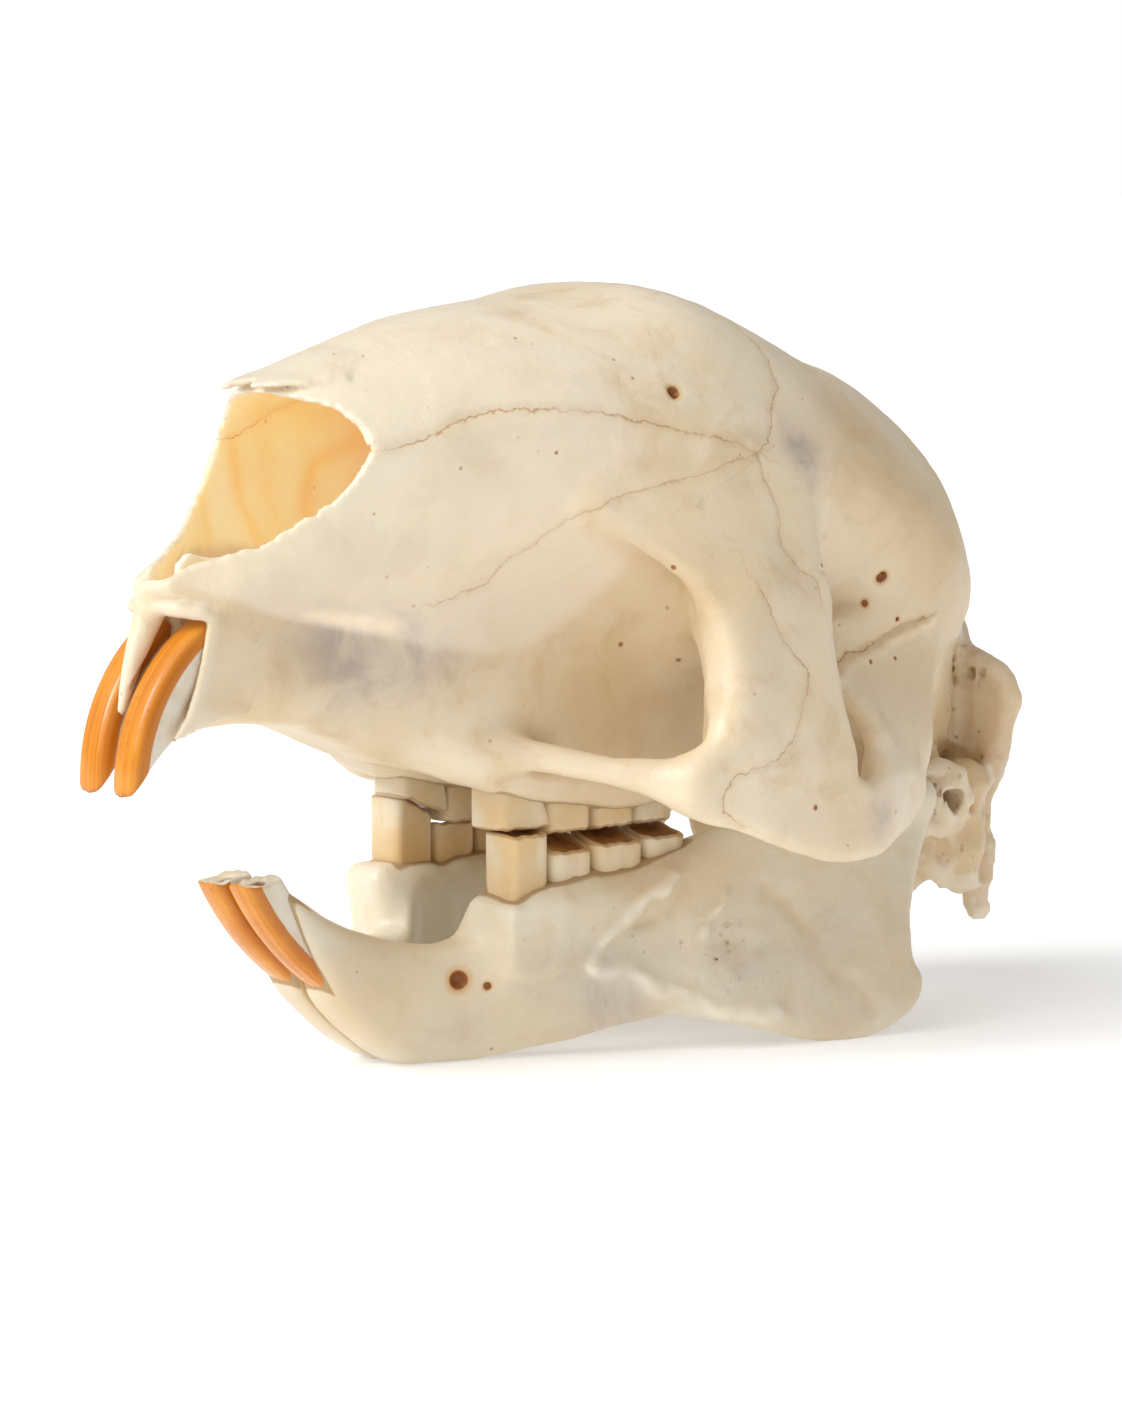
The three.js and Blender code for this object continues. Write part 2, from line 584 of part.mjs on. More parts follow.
// A ring of points round one tooth: half width, half length, and a groove down its cheek side
function toothRing(count, halfX, halfY, groove, at) {
  return Array.from({ length: count }, (_, n) => {
    const turn = (n / count) * Math.PI * 2;
    const square = (v) => Math.sign(v) * Math.abs(v) ** 0.6;
    const u = halfX * square(Math.cos(turn));
    const v = halfY * square(Math.sin(turn));
    return at(u - Math.sign(u) * groove * Math.exp(-((v / (0.3 * halfY)) ** 2)), v);
  });
}

// Cheek teeth of the left side: [name, front y, rear y, inner x, outer x, biting z, root z]
const UPPER_TEETH = [
  ['premolar', -12.6, -4.5, 6.4, 13.4, 32.3, 43],
  ['molar_1', -4.2, 3.9, 6.6, 13.6, 30.9, 41],
  ['molar_2', 4.2, 11.6, 6.8, 13.6, 30.9, 41],
  ['molar_3', 11.9, 19, 7.1, 13.2, 30.9, 41],
];
const LOWER_TEETH = [
  ['premolar', -11.7, -5.2, 8.4, 15, 32, 20],
  ['molar_1', -4.9, 2.5, 8.3, 15.3, 30.1, 21],
  ['molar_2', 2.8, 11.6, 8.4, 15.5, 30.2, 21.5],
  ['molar_3', 11.9, 19.4, 8.7, 15.4, 30.1, 22.5],
];

const TOOTH_SIDES = 12;
const TOOTH_GROOVE = 0.45;

// A cheek tooth, or with grow its socket
function cheekTooth([, front, rear, inner, outer, bite, root], grow) {
  const middle = new THREE.Vector2((inner + outer) / 2, (front + rear) / 2);
  const halfX = (outer - inner) / 2 + grow;
  const halfY = (rear - front) / 2 + grow;
  const up = Math.sign(bite - root);
  const levels = [
    [root - up * grow, 0.8],
    [root + up * 5.5, 1], // full width above the narrowing root
    [bite - up * 0.6, 1],
    [bite + up * grow, 0.9],
  ];
  const sections = levels.map(([z, size]) => {
    const at = (u, v) => new THREE.Vector3(middle.x + u, middle.y + v, z);
    return toothRing(TOOTH_SIDES, halfX * size, halfY * size, TOOTH_GROOVE, at);
  });
  return new LoftGeometry(up > 0 ? sections : sections.reverse(), { capStart: true, capEnd: true });
}

// An incisor bends along an arc in the side view. Turns are degrees about the arc's centre, 180 to the
// front and 90 up; slant is how much sooner the inner side of the arc ends than the outer side.
const UPPER_INCISOR = {
  y: -43, z: 41.5, radius: 24.5, deep: 6.8, wide: 5.8,
  root: 100, rootX: 4.4, tip: 183, tipX: 3.5, slant: 26,
};
const LOWER_INCISOR = {
  y: -14, z: 46, radius: 39.7, deep: 6.2, wide: 5.5,
  root: 243, rootX: 3.5, tip: 208, tipX: 3.2, slant: -4,
};
const INCISOR_STEPS = 7;
const INCISOR_SIDES = 10;

function incisor({ y, z, radius, deep, wide, root, rootX, tip, tipX, slant }, grow) {
  const extra = THREE.MathUtils.radToDeg(grow / radius) * Math.sign(tip - root);
  const sections = Array.from({ length: INCISOR_STEPS + 1 }, (_, n) => {
    const t = n / INCISOR_STEPS;
    return toothRing(INCISOR_SIDES, wide / 2 + grow, deep / 2 + grow, 0, (u, v) => {
      const reach = radius - deep / 2 + v;
      const inner = 0.5 - v / deep;
      const end = tip - slant * inner + extra;
      const turn = THREE.MathUtils.degToRad(THREE.MathUtils.lerp(root - extra, end, t));
      const x = THREE.MathUtils.lerp(rootX, tipX, t) + u;
      return new THREE.Vector3(x, y + Math.cos(turn) * reach, z + Math.sin(turn) * reach);
    });
  });
  return new LoftGeometry(tip > root ? sections : sections.reverse(), { capStart: true, capEnd: true });
}

// A geometry with nothing but its merged vertices and its faces
function bare(geometry) {
  const plain = new THREE.BufferGeometry();
  plain.setAttribute('position', geometry.getAttribute('position'));
  if (geometry.index) plain.setIndex(geometry.index);
  return mergeVertices(plain, 1e-4);
}

function solid(geometry) {
  const { attributes, index } = bare(geometry);
  const vertProperties = attributes.position.array;
  const triVerts = new Uint32Array(index.array);
  return new wasm.Manifold(new wasm.Mesh({ numProp: 3, vertProperties, triVerts }));
}

function geometryOf(made) {
  const { vertProperties, triVerts } = made.getMesh();
  const geometry = new THREE.BufferGeometry();
  geometry.setAttribute('position', new THREE.BufferAttribute(vertProperties, 3));
  geometry.setIndex(new THREE.BufferAttribute(triVerts, 1));
  return geometry;
}

const skull = new THREE.Group();
skull.position.copy(DATUM);

function add(name, geometry, material) {
  const mesh = new THREE.Mesh(geometry, material);
  mesh.name = name;
  skull.add(mesh);
}

// The same piece on the skull's right side
function otherSide(geometry) {
  const flipped = bare(geometry).applyMatrix4(new THREE.Matrix4().makeScale(-1, 1, 1));
  const index = Array.from(flipped.index.array);
  for (let i = 0; i < index.length; i += 3) [index[i + 1], index[i + 2]] = [index[i + 2], index[i + 1]];
  return flipped.setIndex(index);
}

function addPair(name, geometry, material) {
  add(`${name}_left`, bare(geometry), material);
  add(`${name}_right`, otherSide(geometry), material);
}

// Boxes that hold the fields: low corner and high corner
const CRANIUM_BOX = [[-42, -69, 10], [42, 84, 108]];
const JAW_BOX = [[-2, -48, -2], [34, 60, 40]];

// Everything below the table's top
const belowTable = new THREE.BoxGeometry(100, 200, 20).translate(0, 0, -DATUM.z - 10);

const craniumSurface = surface(cranium, ...CRANIUM_BOX, STEP, true);
const upperSockets = UPPER_TEETH.map((tooth) => cheekTooth(tooth, GAP));
let craniumSolid = solid(simplified(craniumSurface, CRANIUM_FACES));
for (const socket of [...upperSockets, incisor(UPPER_INCISOR, GAP)]) {
  craniumSolid = craniumSolid.subtract(solid(socket)).subtract(solid(otherSide(socket)));
}
add('cranium', geometryOf(craniumSolid), bone);

const jawSurface = surface(jaw, ...JAW_BOX, STEP, false);
const lowerSockets = LOWER_TEETH.map((tooth) => cheekTooth(tooth, GAP));
let jawSolid = solid(simplified(jawSurface, JAW_FACES));
for (const socket of [...lowerSockets, incisor(LOWER_INCISOR, GAP)]) {
  jawSolid = jawSolid.subtract(solid(socket));
}
// the chin and the rear corners of the jaw are flat where they rest
jawSolid = jawSolid.subtract(solid(belowTable));
addPair('mandible', geometryOf(jawSolid), jawBone);

for (const tooth of UPPER_TEETH) addPair(`upper_${tooth[0]}`, cheekTooth(tooth, 0), ivory);
for (const tooth of LOWER_TEETH) addPair(`lower_${tooth[0]}`, cheekTooth(tooth, 0), ivory);
addPair('upper_incisor', incisor(UPPER_INCISOR, 0), orange);
addPair('lower_incisor', incisor(LOWER_INCISOR, 0), orange);

export default skull;
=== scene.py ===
# Looks for a porcupine-like rodent skull that rests closed on its lower jaw.
# The bones are drawn again as signed fields, in millimetres and in the drawn frame of the part's
# source, at a finer grid and with their seams, pits, holes and broken edges; the teeth are lofted.

import json
import math

import bpy
import numpy as np
from mathutils import Matrix, Vector

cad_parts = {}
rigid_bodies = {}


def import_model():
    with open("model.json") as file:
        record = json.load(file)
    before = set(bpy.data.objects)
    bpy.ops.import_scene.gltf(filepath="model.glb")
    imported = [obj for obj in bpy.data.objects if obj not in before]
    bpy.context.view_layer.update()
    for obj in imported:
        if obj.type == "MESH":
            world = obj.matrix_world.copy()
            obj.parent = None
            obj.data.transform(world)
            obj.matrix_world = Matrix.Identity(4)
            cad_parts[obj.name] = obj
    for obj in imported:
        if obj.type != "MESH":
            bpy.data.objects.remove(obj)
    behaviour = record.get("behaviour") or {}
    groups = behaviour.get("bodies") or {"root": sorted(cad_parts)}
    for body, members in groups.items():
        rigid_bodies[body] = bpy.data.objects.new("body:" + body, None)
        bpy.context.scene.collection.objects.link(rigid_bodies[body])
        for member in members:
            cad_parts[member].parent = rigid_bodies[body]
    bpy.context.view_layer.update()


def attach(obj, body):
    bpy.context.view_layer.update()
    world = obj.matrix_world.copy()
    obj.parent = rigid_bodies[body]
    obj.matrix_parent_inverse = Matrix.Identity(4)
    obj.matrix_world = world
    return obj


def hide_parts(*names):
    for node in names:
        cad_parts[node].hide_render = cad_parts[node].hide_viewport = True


for start in list(bpy.data.objects):
    bpy.data.objects.remove(start)
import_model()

DATUM = np.array([0.0, -5.8, -1.4])
STEP = 0.5
PIECE_FACES = 190000
JAW_FACES = 120000
DETAIL_REACH = 2.2  # how far from the surface the fine detail is worked out
MM = 0.001


# Fields
def ramp(t, low, high):
    t = np.clip((t - low) / (high - low), 0.0, 1.0)
    return t * t * (3 - 2 * t)


def blend(a, b, k):
    h = np.maximum(k - np.abs(a - b), 0) / k
    return np.minimum(a, b) - h * h * k * 0.25


def carve(a, b, k):
    return -blend(-a, b, k)


def meet(a, b, k):
    return -blend(-a, -b, k)


def bell(a, b, centre, size):
    """1 at a place in a side view, fading to 0 over size."""
    return np.exp(-(((a - centre[0]) / size[0]) ** 2 + ((b - centre[1]) / size[1]) ** 2))


def crest(s, width):
    """1 on a line, fading to 0 over width."""
    return np.exp(-((s / width) ** 2))


def blob(p, centre, radii):
    q = [(p[i] - centre[i]) / radii[i] for i in range(3)]
    near = np.sqrt(q[0] ** 2 + q[1] ** 2 + q[2] ** 2)
    slope = np.sqrt(sum((q[i] / radii[i]) ** 2 for i in range(3)))
    return near * (near - 1) / np.maximum(slope, 1e-9)


def limb(p, points):
    best = None
    for a, b in zip(points[:-1], points[1:]):
        d = [b[i] - a[i] for i in range(3)]
        size = d[0] ** 2 + d[1] ** 2 + d[2] ** 2
        t = ((p[0] - a[0]) * d[0] + (p[1] - a[1]) * d[1] + (p[2] - a[2]) * d[2]) / size
        t = np.clip(t, 0, 1)
        far = np.sqrt(sum((p[i] - a[i] - t * d[i]) ** 2 for i in range(3)))
        far = far - a[3] - t * (b[3] - a[3])
        best = far if best is None else np.minimum(best, far)
    return best


def outline(u, v, points):
    best = np.full(u.shape, 1e18)
    inside = np.zeros(u.shape, bool)
    ax, ay = points[-1]
    for bx, by in points:
        ex, ey = bx - ax, by - ay
        size = ex * ex + ey * ey
        if size > 1e-12:
            t = np.clip(((u - ax) * ex + (v - ay) * ey) / size, 0, 1)
            best = np.minimum(best, (u - ax - t * ex) ** 2 + (v - ay - t * ey) ** 2)
        if by != ay:
            hit = ((by > v) != (ay > v)) & (u < (ax - bx) * (v - by) / (ay - by) + bx)
            inside ^= hit
        ax, ay = bx, by
    d = np.sqrt(best)
    return np.where(inside, -d, d)


def rounded(points, each=4):
    """A closed centripetal curve through the points."""
    pts = np.array(points, float)
    n = len(pts)
    out = []
    for k in range(n):
        p0, p1, p2, p3 = (pts[(k + j) % n] for j in (-1, 0, 1, 2))
        d1 = math.sqrt(np.linalg.norm(p2 - p1)) or 1.0
        d0 = math.sqrt(np.linalg.norm(p1 - p0)) or d1
        d2 = math.sqrt(np.linalg.norm(p3 - p2)) or d1
        t1 = ((p1 - p0) / d0 - (p2 - p0) / (d0 + d1) + (p2 - p1) / d1) * d1
        t2 = ((p2 - p1) / d1 - (p3 - p1) / (d1 + d2) + (p3 - p2) / d2) * d1
        for s in range(each):
            w = s / each
            c2 = -3 * p1 + 3 * p2 - 2 * t1 - t2
            c3 = 2 * p1 - 2 * p2 + t1 + t2
            out.append(p1 + t1 * w + c2 * w * w + c3 * w ** 3)
    return [tuple(q) for q in out]


def ring_at(stations, y):
    ys = [s[0] for s in stations]
    rings = [np.array(s[1], float) for s in stations]
    last = len(ys) - 1
    at = min(max(y, ys[0]), ys[last])
    i = 0
    while i < last - 1 and ys[i + 1] < at:
        i += 1
    span = ys[i + 1] - ys[i]
    t = (at - ys[i]) / span
    lo, hi = (i - 1 if i > 0 else i), i + 1
    slope_a = (rings[hi] - rings[lo]) / (ys[hi] - ys[lo])
    lo, hi = i, (i + 2 if i + 2 <= last else i + 1)
    slope_b = (rings[hi] - rings[lo]) / (ys[hi] - ys[lo])
    t2, t3 = t * t, t ** 3
    return ((2 * t3 - 3 * t2 + 1) * rings[i] + (t3 - 2 * t2 + t) * span * slope_a
            + (3 * t2 - 2 * t3) * rings[i + 1] + (t3 - t2) * span * slope_b)


def skin(p, stations, closed):
    x, y, z = p
    d = np.empty(x.shape)
    if len(np.unique(y)) > 1500:  # points off the grid share stations a quarter of a millimetre apart
        y = np.round(y * 4) / 4
    order = np.argsort(y, kind="stable")
    values, starts = np.unique(y[order], return_index=True)
    for n, value in enumerate(values):
        end = starts[n + 1] if n + 1 < len(values) else len(y)
        part = order[starts[n]:end]
        ring = ring_at(stations, value)
        if not closed:
            ring = np.concatenate([ring, ring[-2:0:-1] * [-1, 1]])
        d[part] = outline(x[part], z[part], rounded(ring, 4))
    return d


def hashed(i, j, k, seed):
    h = (i * 374761393 + j * 668265263 + k * 2147483647 + seed * 974711) & 0xFFFFFFFF
    h = ((h ^ (h >> 13)) * 1274126177) & 0xFFFFFFFF
    h = ((h ^ (h >> 16)) * 2246822519) & 0xFFFFFFFF
    return ((h ^ (h >> 15)) & 0xFFFFFF) / float(0xFFFFFF)


def noise(p, size, seed=0):
    """Value noise from -1 to 1, its lumps about size millimetres across."""
    q = [c / size + 97.0 for c in p]
    whole = [np.floor(c).astype(np.int64) for c in q]
    f = [c - w for c, w in zip(q, whole)]
    f = [c * c * (3 - 2 * c) for c in f]
    total = 0
    for a in (0, 1):
        for b in (0, 1):
            for c in (0, 1):
                w = (f[0] if a else 1 - f[0]) * (f[1] if b else 1 - f[1]) * (f[2] if c else 1 - f[2])
                total = total + w * hashed(whole[0] + a, whole[1] + b, whole[2] + c, seed)
    return total * 2 - 1


def pores(p, size, seed, share=0.5):
    """Distance to scattered points, one to a cell of size millimetres, in a share of the cells."""
    q = [c / size + 97.0 for c in p]
    whole = [np.floor(c).astype(np.int64) for c in q]
    best = np.full(p[0].shape, 9.0)
    for a in (-1, 0, 1):
        for b in (-1, 0, 1):
            for c in (-1, 0, 1):
                cell = (whole[0] + a, whole[1] + b, whole[2] + c)
                at = [cell[n] + 0.2 + 0.6 * hashed(*cell, seed + 7 * n) for n in range(3)]
                d = sum((q[n] - at[n]) ** 2 for n in range(3))
                best = np.where(hashed(*cell, seed + 50) < share, np.minimum(best, d), best)
    return np.sqrt(best) * size


# The bones
WALL = 2.3
RIM_WALL = 1.15  # the wall at the broken rim of the nasal opening
JOINT_GAP = 0.9

BODY = [
    (-63, [[0, 48], [2, 48], [3.6, 50], [4.2, 55], [4, 60], [3.4, 63], [2.6, 65.5], [1.4, 66.6], [0, 67]]),
    (-56, [[0, 48.5], [4, 48.5], [6.6, 51.5], [7.4, 57], [6.8, 63], [4.6, 69], [4.0, 73], [2.5, 77],
           [0, 79]]),
    (-47.6, [[0, 48.5], [5, 48.5], [8, 52], [9.2, 58], [9.8, 65], [9.9, 72.2], [9.8, 79], [6.5, 84.5],
             [0, 87.6]]),
    (-40.5, [[0, 47.5], [5.5, 47.8], [8.6, 51], [10, 57], [12, 66], [14.6, 77.5], [14.8, 83.8],
             [8.5, 89.4], [0, 92.2]]),
    (-36, [[0, 46], [6, 46.3], [9, 50], [10.6, 57], [13, 67], [16, 78], [16.3, 84.2], [9.8, 91], [0, 94.2]]),
    (-25, [[0, 41.5], [6.5, 42], [9.5, 46], [11.5, 55], [14.5, 66], [19, 77], [19.8, 85.7], [12.5, 94],
           [0, 97.6]]),
    (-14, [[0, 41], [5.5, 38.6], [13.8, 38.6], [14.2, 52], [15, 65], [22, 76.5], [23.2, 86.5],
           [14.5, 96.4], [0, 100.2]]),
    (0, [[0, 41.5], [4.6, 36], [14.8, 35.4], [15.2, 50], [17.6, 63], [26, 74.5], [26.6, 86.5], [16, 98.2],
         [0, 101.8]]),
    (15, [[0, 41.5], [5, 35], [14.8, 34.6], [16, 48], [21, 57], [29.6, 69], [29.2, 84], [18, 100],
          [0, 103.4]]),
    (25, [[0, 42], [5.5, 38], [11, 38.5], [16.5, 48], [20.5, 58], [28.3, 69.5], [29.4, 82], [19.2, 97],
          [0, 101.8]]),
    (35, [[0, 43], [5, 41], [12, 42], [18, 50], [22, 61], [27.5, 70], [29, 80], [18.8, 92.8], [0, 98.4]]),
    (47, [[0, 38], [8, 37], [17, 41], [22, 50], [25, 59], [28, 67], [27.8, 75], [18.2, 87.2], [0, 93.4]]),
    (58, [[0, 37], [8, 34], [17, 36], [22, 45], [24.6, 55], [26.2, 63], [25, 71], [16.8, 82], [0, 90]]),
    (66, [[0, 37], [8, 34], [16, 36], [18.5, 44], [19.6, 52], [22.6, 60], [21, 67.5], [14.5, 77.5], [0, 84]]),
    (72, [[0, 38], [8, 36], [14, 38], [15, 44], [15, 52], [16.5, 59], [15, 64.5], [11, 71], [0, 75]]),
]
OPENING = [
    (-90, 67.4), (-61, 67.2), (-58.5, 68), (-51.9, 70.5), (-47.6, 72.2), (-43.8, 74.9), (-40.9, 77.3),
    (-38.7, 79.8), (-36.6, 83.5), (-36.5, 86), (-38, 88.4), (-42.7, 90.4), (-43.4, 91.2), (-43.4, 110),
    (-90, 110),
]
CHEEK = rounded([
    (-6, 76), (-1.4, 71), (5.5, 65.6), (9, 57.8), (8.9, 52.6), (6.3, 46.3), (2.7, 42.6), (0.3, 37.6),
    (3.7, 34.5), (9, 33.1), (18, 29.7), (26.8, 27.6), (36.9, 28.6), (43.5, 31), (46.6, 34.6), (44, 37.6),
    (36, 38.2), (31.4, 37.4), (29, 38.6), (28.8, 41), (27.8, 45), (27.2, 51.4), (27.6, 57), (29.4, 63),
    (27, 71), (20, 80), (2, 82),
], 3)
REAR = rounded([
    (0, 62), (9, 60), (13, 56), (17, 52.6), (21, 50.2), (23.4, 47.2), (24, 43.5), (22.6, 38), (21.2, 31),
    (20.8, 24), (20.6, 17.4), (19.4, 13.6), (17.6, 17), (15, 25), (11, 31), (6, 34), (0, 35),
], 3)
TEMPLE = rounded([
    (28, 56), (34, 49), (36.2, 43.4), (34.6, 38), (38, 31.6), (44.5, 31.6), (48.4, 35.4), (50.6, 41.2),
    (52.4, 46.4), (57, 53), (54, 59), (40, 59),
], 3)
MUZZLE = [
    (-90, 70), (-61.4, 70), (-61.4, 67.6), (-62, 65.8), (-59.6, 63.8), (-56.4, 62.6), (-55.6, 61),
    (-56.5, 57.4), (-58.6, 51.5), (-60.8, 46.4), (-61.5, 40), (-90, 40),
]
CHEEK_FACE = {"out": 38.6, "up": 10.5, "front": 3.6, "back": 6.5, "thickness": 3.8}
REAR_FACE = {"y": 73.3, "swept": 2.6, "thickness": 3.6}
TEMPLE_FACE = {"front": 37.4, "back": 31.8, "top": 25.4, "thickness": 4.6}

NOSE_SPINE = [(0, -59.6, 64, 2.2), (0, -62.8, 57, 1.3), (0, -64.6, 51, 0.6)]
CHEEK_BAR = [(11, -18, 42.5, 2.6), (18, -11, 42.8, 1.9), (26, -4.5, 40.8, 1.8), (33, 2.5, 39.5, 2.8)]
CHEEK_STRUT = [(15, 17, 59, 6), (27, 17.5, 63, 5.5)]
CHEEK_RIM = [(32, 10, 43, 2.8), (31.6, 11.5, 52, 3.4), (28, 14, 62, 5)]
EAR_TUBE = [(17, 60, 31, 5), (22.4, 60.4, 32, 3.6)]
EAR_HOLE = [(19, 60, 31, 1.9), (40, 60.8, 33.5, 2.4)]
HANGING_PROCESS = [(20.5, 67, 33, 3.4), (20.5, 66.5, 24, 3.2)]
PALATE_WING = [(7, 20, 38, 2.6), (7.5, 30, 34.5, 1.5), (9, 44, 35, 1.5)]
CHEEK_PASSAGE = [(24.5, 0, 47, 4.2), (23.5, 8, 47.3, 4.7), (21, 18, 48, 5), (23, 32, 50, 6.5)]
GREAT_HOLE = [(0, 55, 50, 7), (0, 90, 42, 7)]
EAR_CHAMBER = ((14.5, 59, 28.5), (7.5, 9.5, 11))
NECK_KNOB = ((6.5, 74.5, 38), (4, 4.5, 6.5))
CHEEK_HOLLOW = ((30, -12, 57), (13.5, 20.5, 15))
NASAL_HOLLOW = ((0, -30, 77), (40, 42, 26))
BRAIN_HOLLOW = ((0, 47, 63), (20, 23, 23))

JAW = [
    (-44, [[3, 20], [5.5, 20.5], [6.3, 22.5], [6.3, 25], [6, 27.2], [3.5, 28.6], [0.6, 28], [0.15, 25.5],
           [0.15, 23], [0.6, 20.5]]),
    (-35, [[2.5, 9.6], [5.6, 10.6], [7.4, 14], [7.5, 17.5], [6.8, 20.5], [4, 23], [0.8, 22.4], [0.15, 19],
           [0.15, 14], [0.5, 10]]),
    (-25, [[2, 1.6], [5.2, 2.8], [7.6, 8], [8.2, 12], [7.4, 16.5], [4.8, 19.2], [1, 18], [0.15, 14],
           [0.15, 8], [0.3, 2.2]]),
    (-16, [[4, 0.4], [7.5, 2.2], [10, 8], [10.6, 13], [9.5, 17], [6.5, 18.4], [3, 17], [1, 12], [0.15, 7],
           [0.8, 0.9]]),
    (-9, [[8.5, 1.2], [11, 3.6], [13, 10], [14, 16], [16, 22], [12, 25.6], [7.4, 23.6], [6.3, 16],
          [4.5, 9], [5, 3.3]]),
    (0, [[12, 2.6], [14.3, 4.5], [15.5, 10], [15.8, 16], [17.2, 23], [12.5, 27.4], [7, 25.5], [7.2, 17],
         [8.5, 9], [9.8, 4]]),
    (10, [[18.5, 5], [20.5, 7], [19.5, 12], [18, 17], [17.6, 24], [13, 28], [7.2, 26], [8.2, 18],
          [11.5, 11], [15, 6.5]]),
    (20, [[24.5, 4], [26.3, 6], [25, 12], [22.5, 19], [20.5, 26], [17, 30.5], [11, 27.5], [12.5, 19],
          [17.5, 11.5], [22.3, 5.5]]),
    (32, [[27.3, 0.4], [28.9, 2.6], [28, 11], [26, 19], [24.8, 27], [23.5, 35], [21.5, 28], [22, 19],
          [24, 11], [25.7, 2.6]]),
    (45, [[29.8, 1], [31.2, 5], [30, 12], [28, 20], [26.5, 28], [25.2, 36], [23.3, 29], [24.5, 20],
          [26.8, 12], [28.2, 5.5]]),
    (56, [[29.8, 6], [31, 9], [30, 14], [28, 20], [26.9, 28], [25.6, 35], [23.7, 29], [24.5, 20],
          [26.8, 14], [28.2, 9]]),
]
JAW_SIDE = rounded([
    (-43.6, 28.2), (-38.1, 24.9), (-33.5, 21.7), (-27.2, 19.4), (-19.4, 17.8), (-14, 18), (-13.1, 20),
    (-12.9, 23.6), (-10.7, 24.6), (-5, 24.9), (-2.6, 26.3), (2.5, 26.5), (9.3, 26.8), (18, 27.9),
    (22.5, 30.5), (30, 33), (40, 33), (47, 35.4), (53.6, 34.2), (55.2, 30.5), (52.3, 24.2), (49.5, 17.7),
    (48, 11.7), (49.1, 8.5), (47.4, 4.6), (43.2, 2.2), (37.5, 0.6), (32.8, 0.8), (26.2, 2.6), (19.7, 4.4),
    (11.6, 5.9), (4.4, 4.2), (-1, 2.8), (-9, 1.6), (-16, 0.5), (-22.1, 1.2), (-29.9, 6), (-35.4, 11.2),
    (-36.6, 14), (-40.4, 20.5),
], 3)
JAW_KNOB = [(24.8, 46, 33.4, 2.3), (25.2, 53, 33, 2.6)]


# Swellings and hollows of the snout's side: the line (y, z), the height and the half width
SNOUT_RELIEF = [
    ([(-47, 60), (-38, 60.5), (-30, 60)], -0.9, 4.2),
    ([(-52, 67.5), (-42, 68), (-34, 67), (-25, 68.5)], 0.5, 2.6),
    ([(-36, 74), (-30, 72.5)], -0.4, 2.4), ([(-20, 81), (-8, 82.5), (6, 82)], -0.4, 2.6),
]


def along(y, z, points):
    """Signed distance to an open line in the side view, positive above it."""
    best = np.full(y.shape, 1e9)
    sign = np.ones(y.shape)
    for (ay, az), (by, bz) in zip(points[:-1], points[1:]):
        ey, ez = by - ay, bz - az
        t = np.clip(((y - ay) * ey + (z - az) * ez) / (ey * ey + ez * ez), 0, 1)
        dy, dz = y - ay - t * ey, z - az - t * ez
        d = dy * dy + dz * dz
        nearer = d < best
        best = np.where(nearer, d, best)
        sign = np.where(nearer, np.sign(ey * dz - ez * dy + 1e-12), sign)
    return np.sqrt(best) * sign


def plate(side, depth, thickness, round_):
    return meet(side, np.abs(depth + thickness / 2) - thickness / 2, round_)


def cheek(p):
    x, y, z = p
    face = (CHEEK_FACE["out"] - CHEEK_FACE["up"] * ramp(z, 40, 84)
            - CHEEK_FACE["front"] * (1 - ramp(y, -6, 12)) - CHEEK_FACE["back"] * ramp(y, 30, 50))
    return plate(outline(y, z, CHEEK) - 0.5, x - face, CHEEK_FACE["thickness"], 2.4)


def rear(p):
    x, y, z = p
    face = REAR_FACE["y"] + REAR_FACE["swept"] * ramp(x, 14, 24) * ramp(z, 20, 45)
    return plate(outline(x, z, REAR), y - face, REAR_FACE["thickness"], 2)


def temple(p):
    x, y, z = p
    t = TEMPLE_FACE
    foot = t["front"] + (t["back"] - t["front"]) * ramp(y, 30, 50)
    face = foot + (t["top"] - foot) * ramp(z, 39, 57)
    return plate(outline(y, z, TEMPLE), x - face, t["thickness"], 2.4)


def jaw_half(p):
    x, y, z = p
    d = meet(skin(p, JAW, True), outline(y, z, JAW_SIDE), 2)
    return np.maximum(blend(d, limb(p, JAW_KNOB), 2), 0.15 - x)


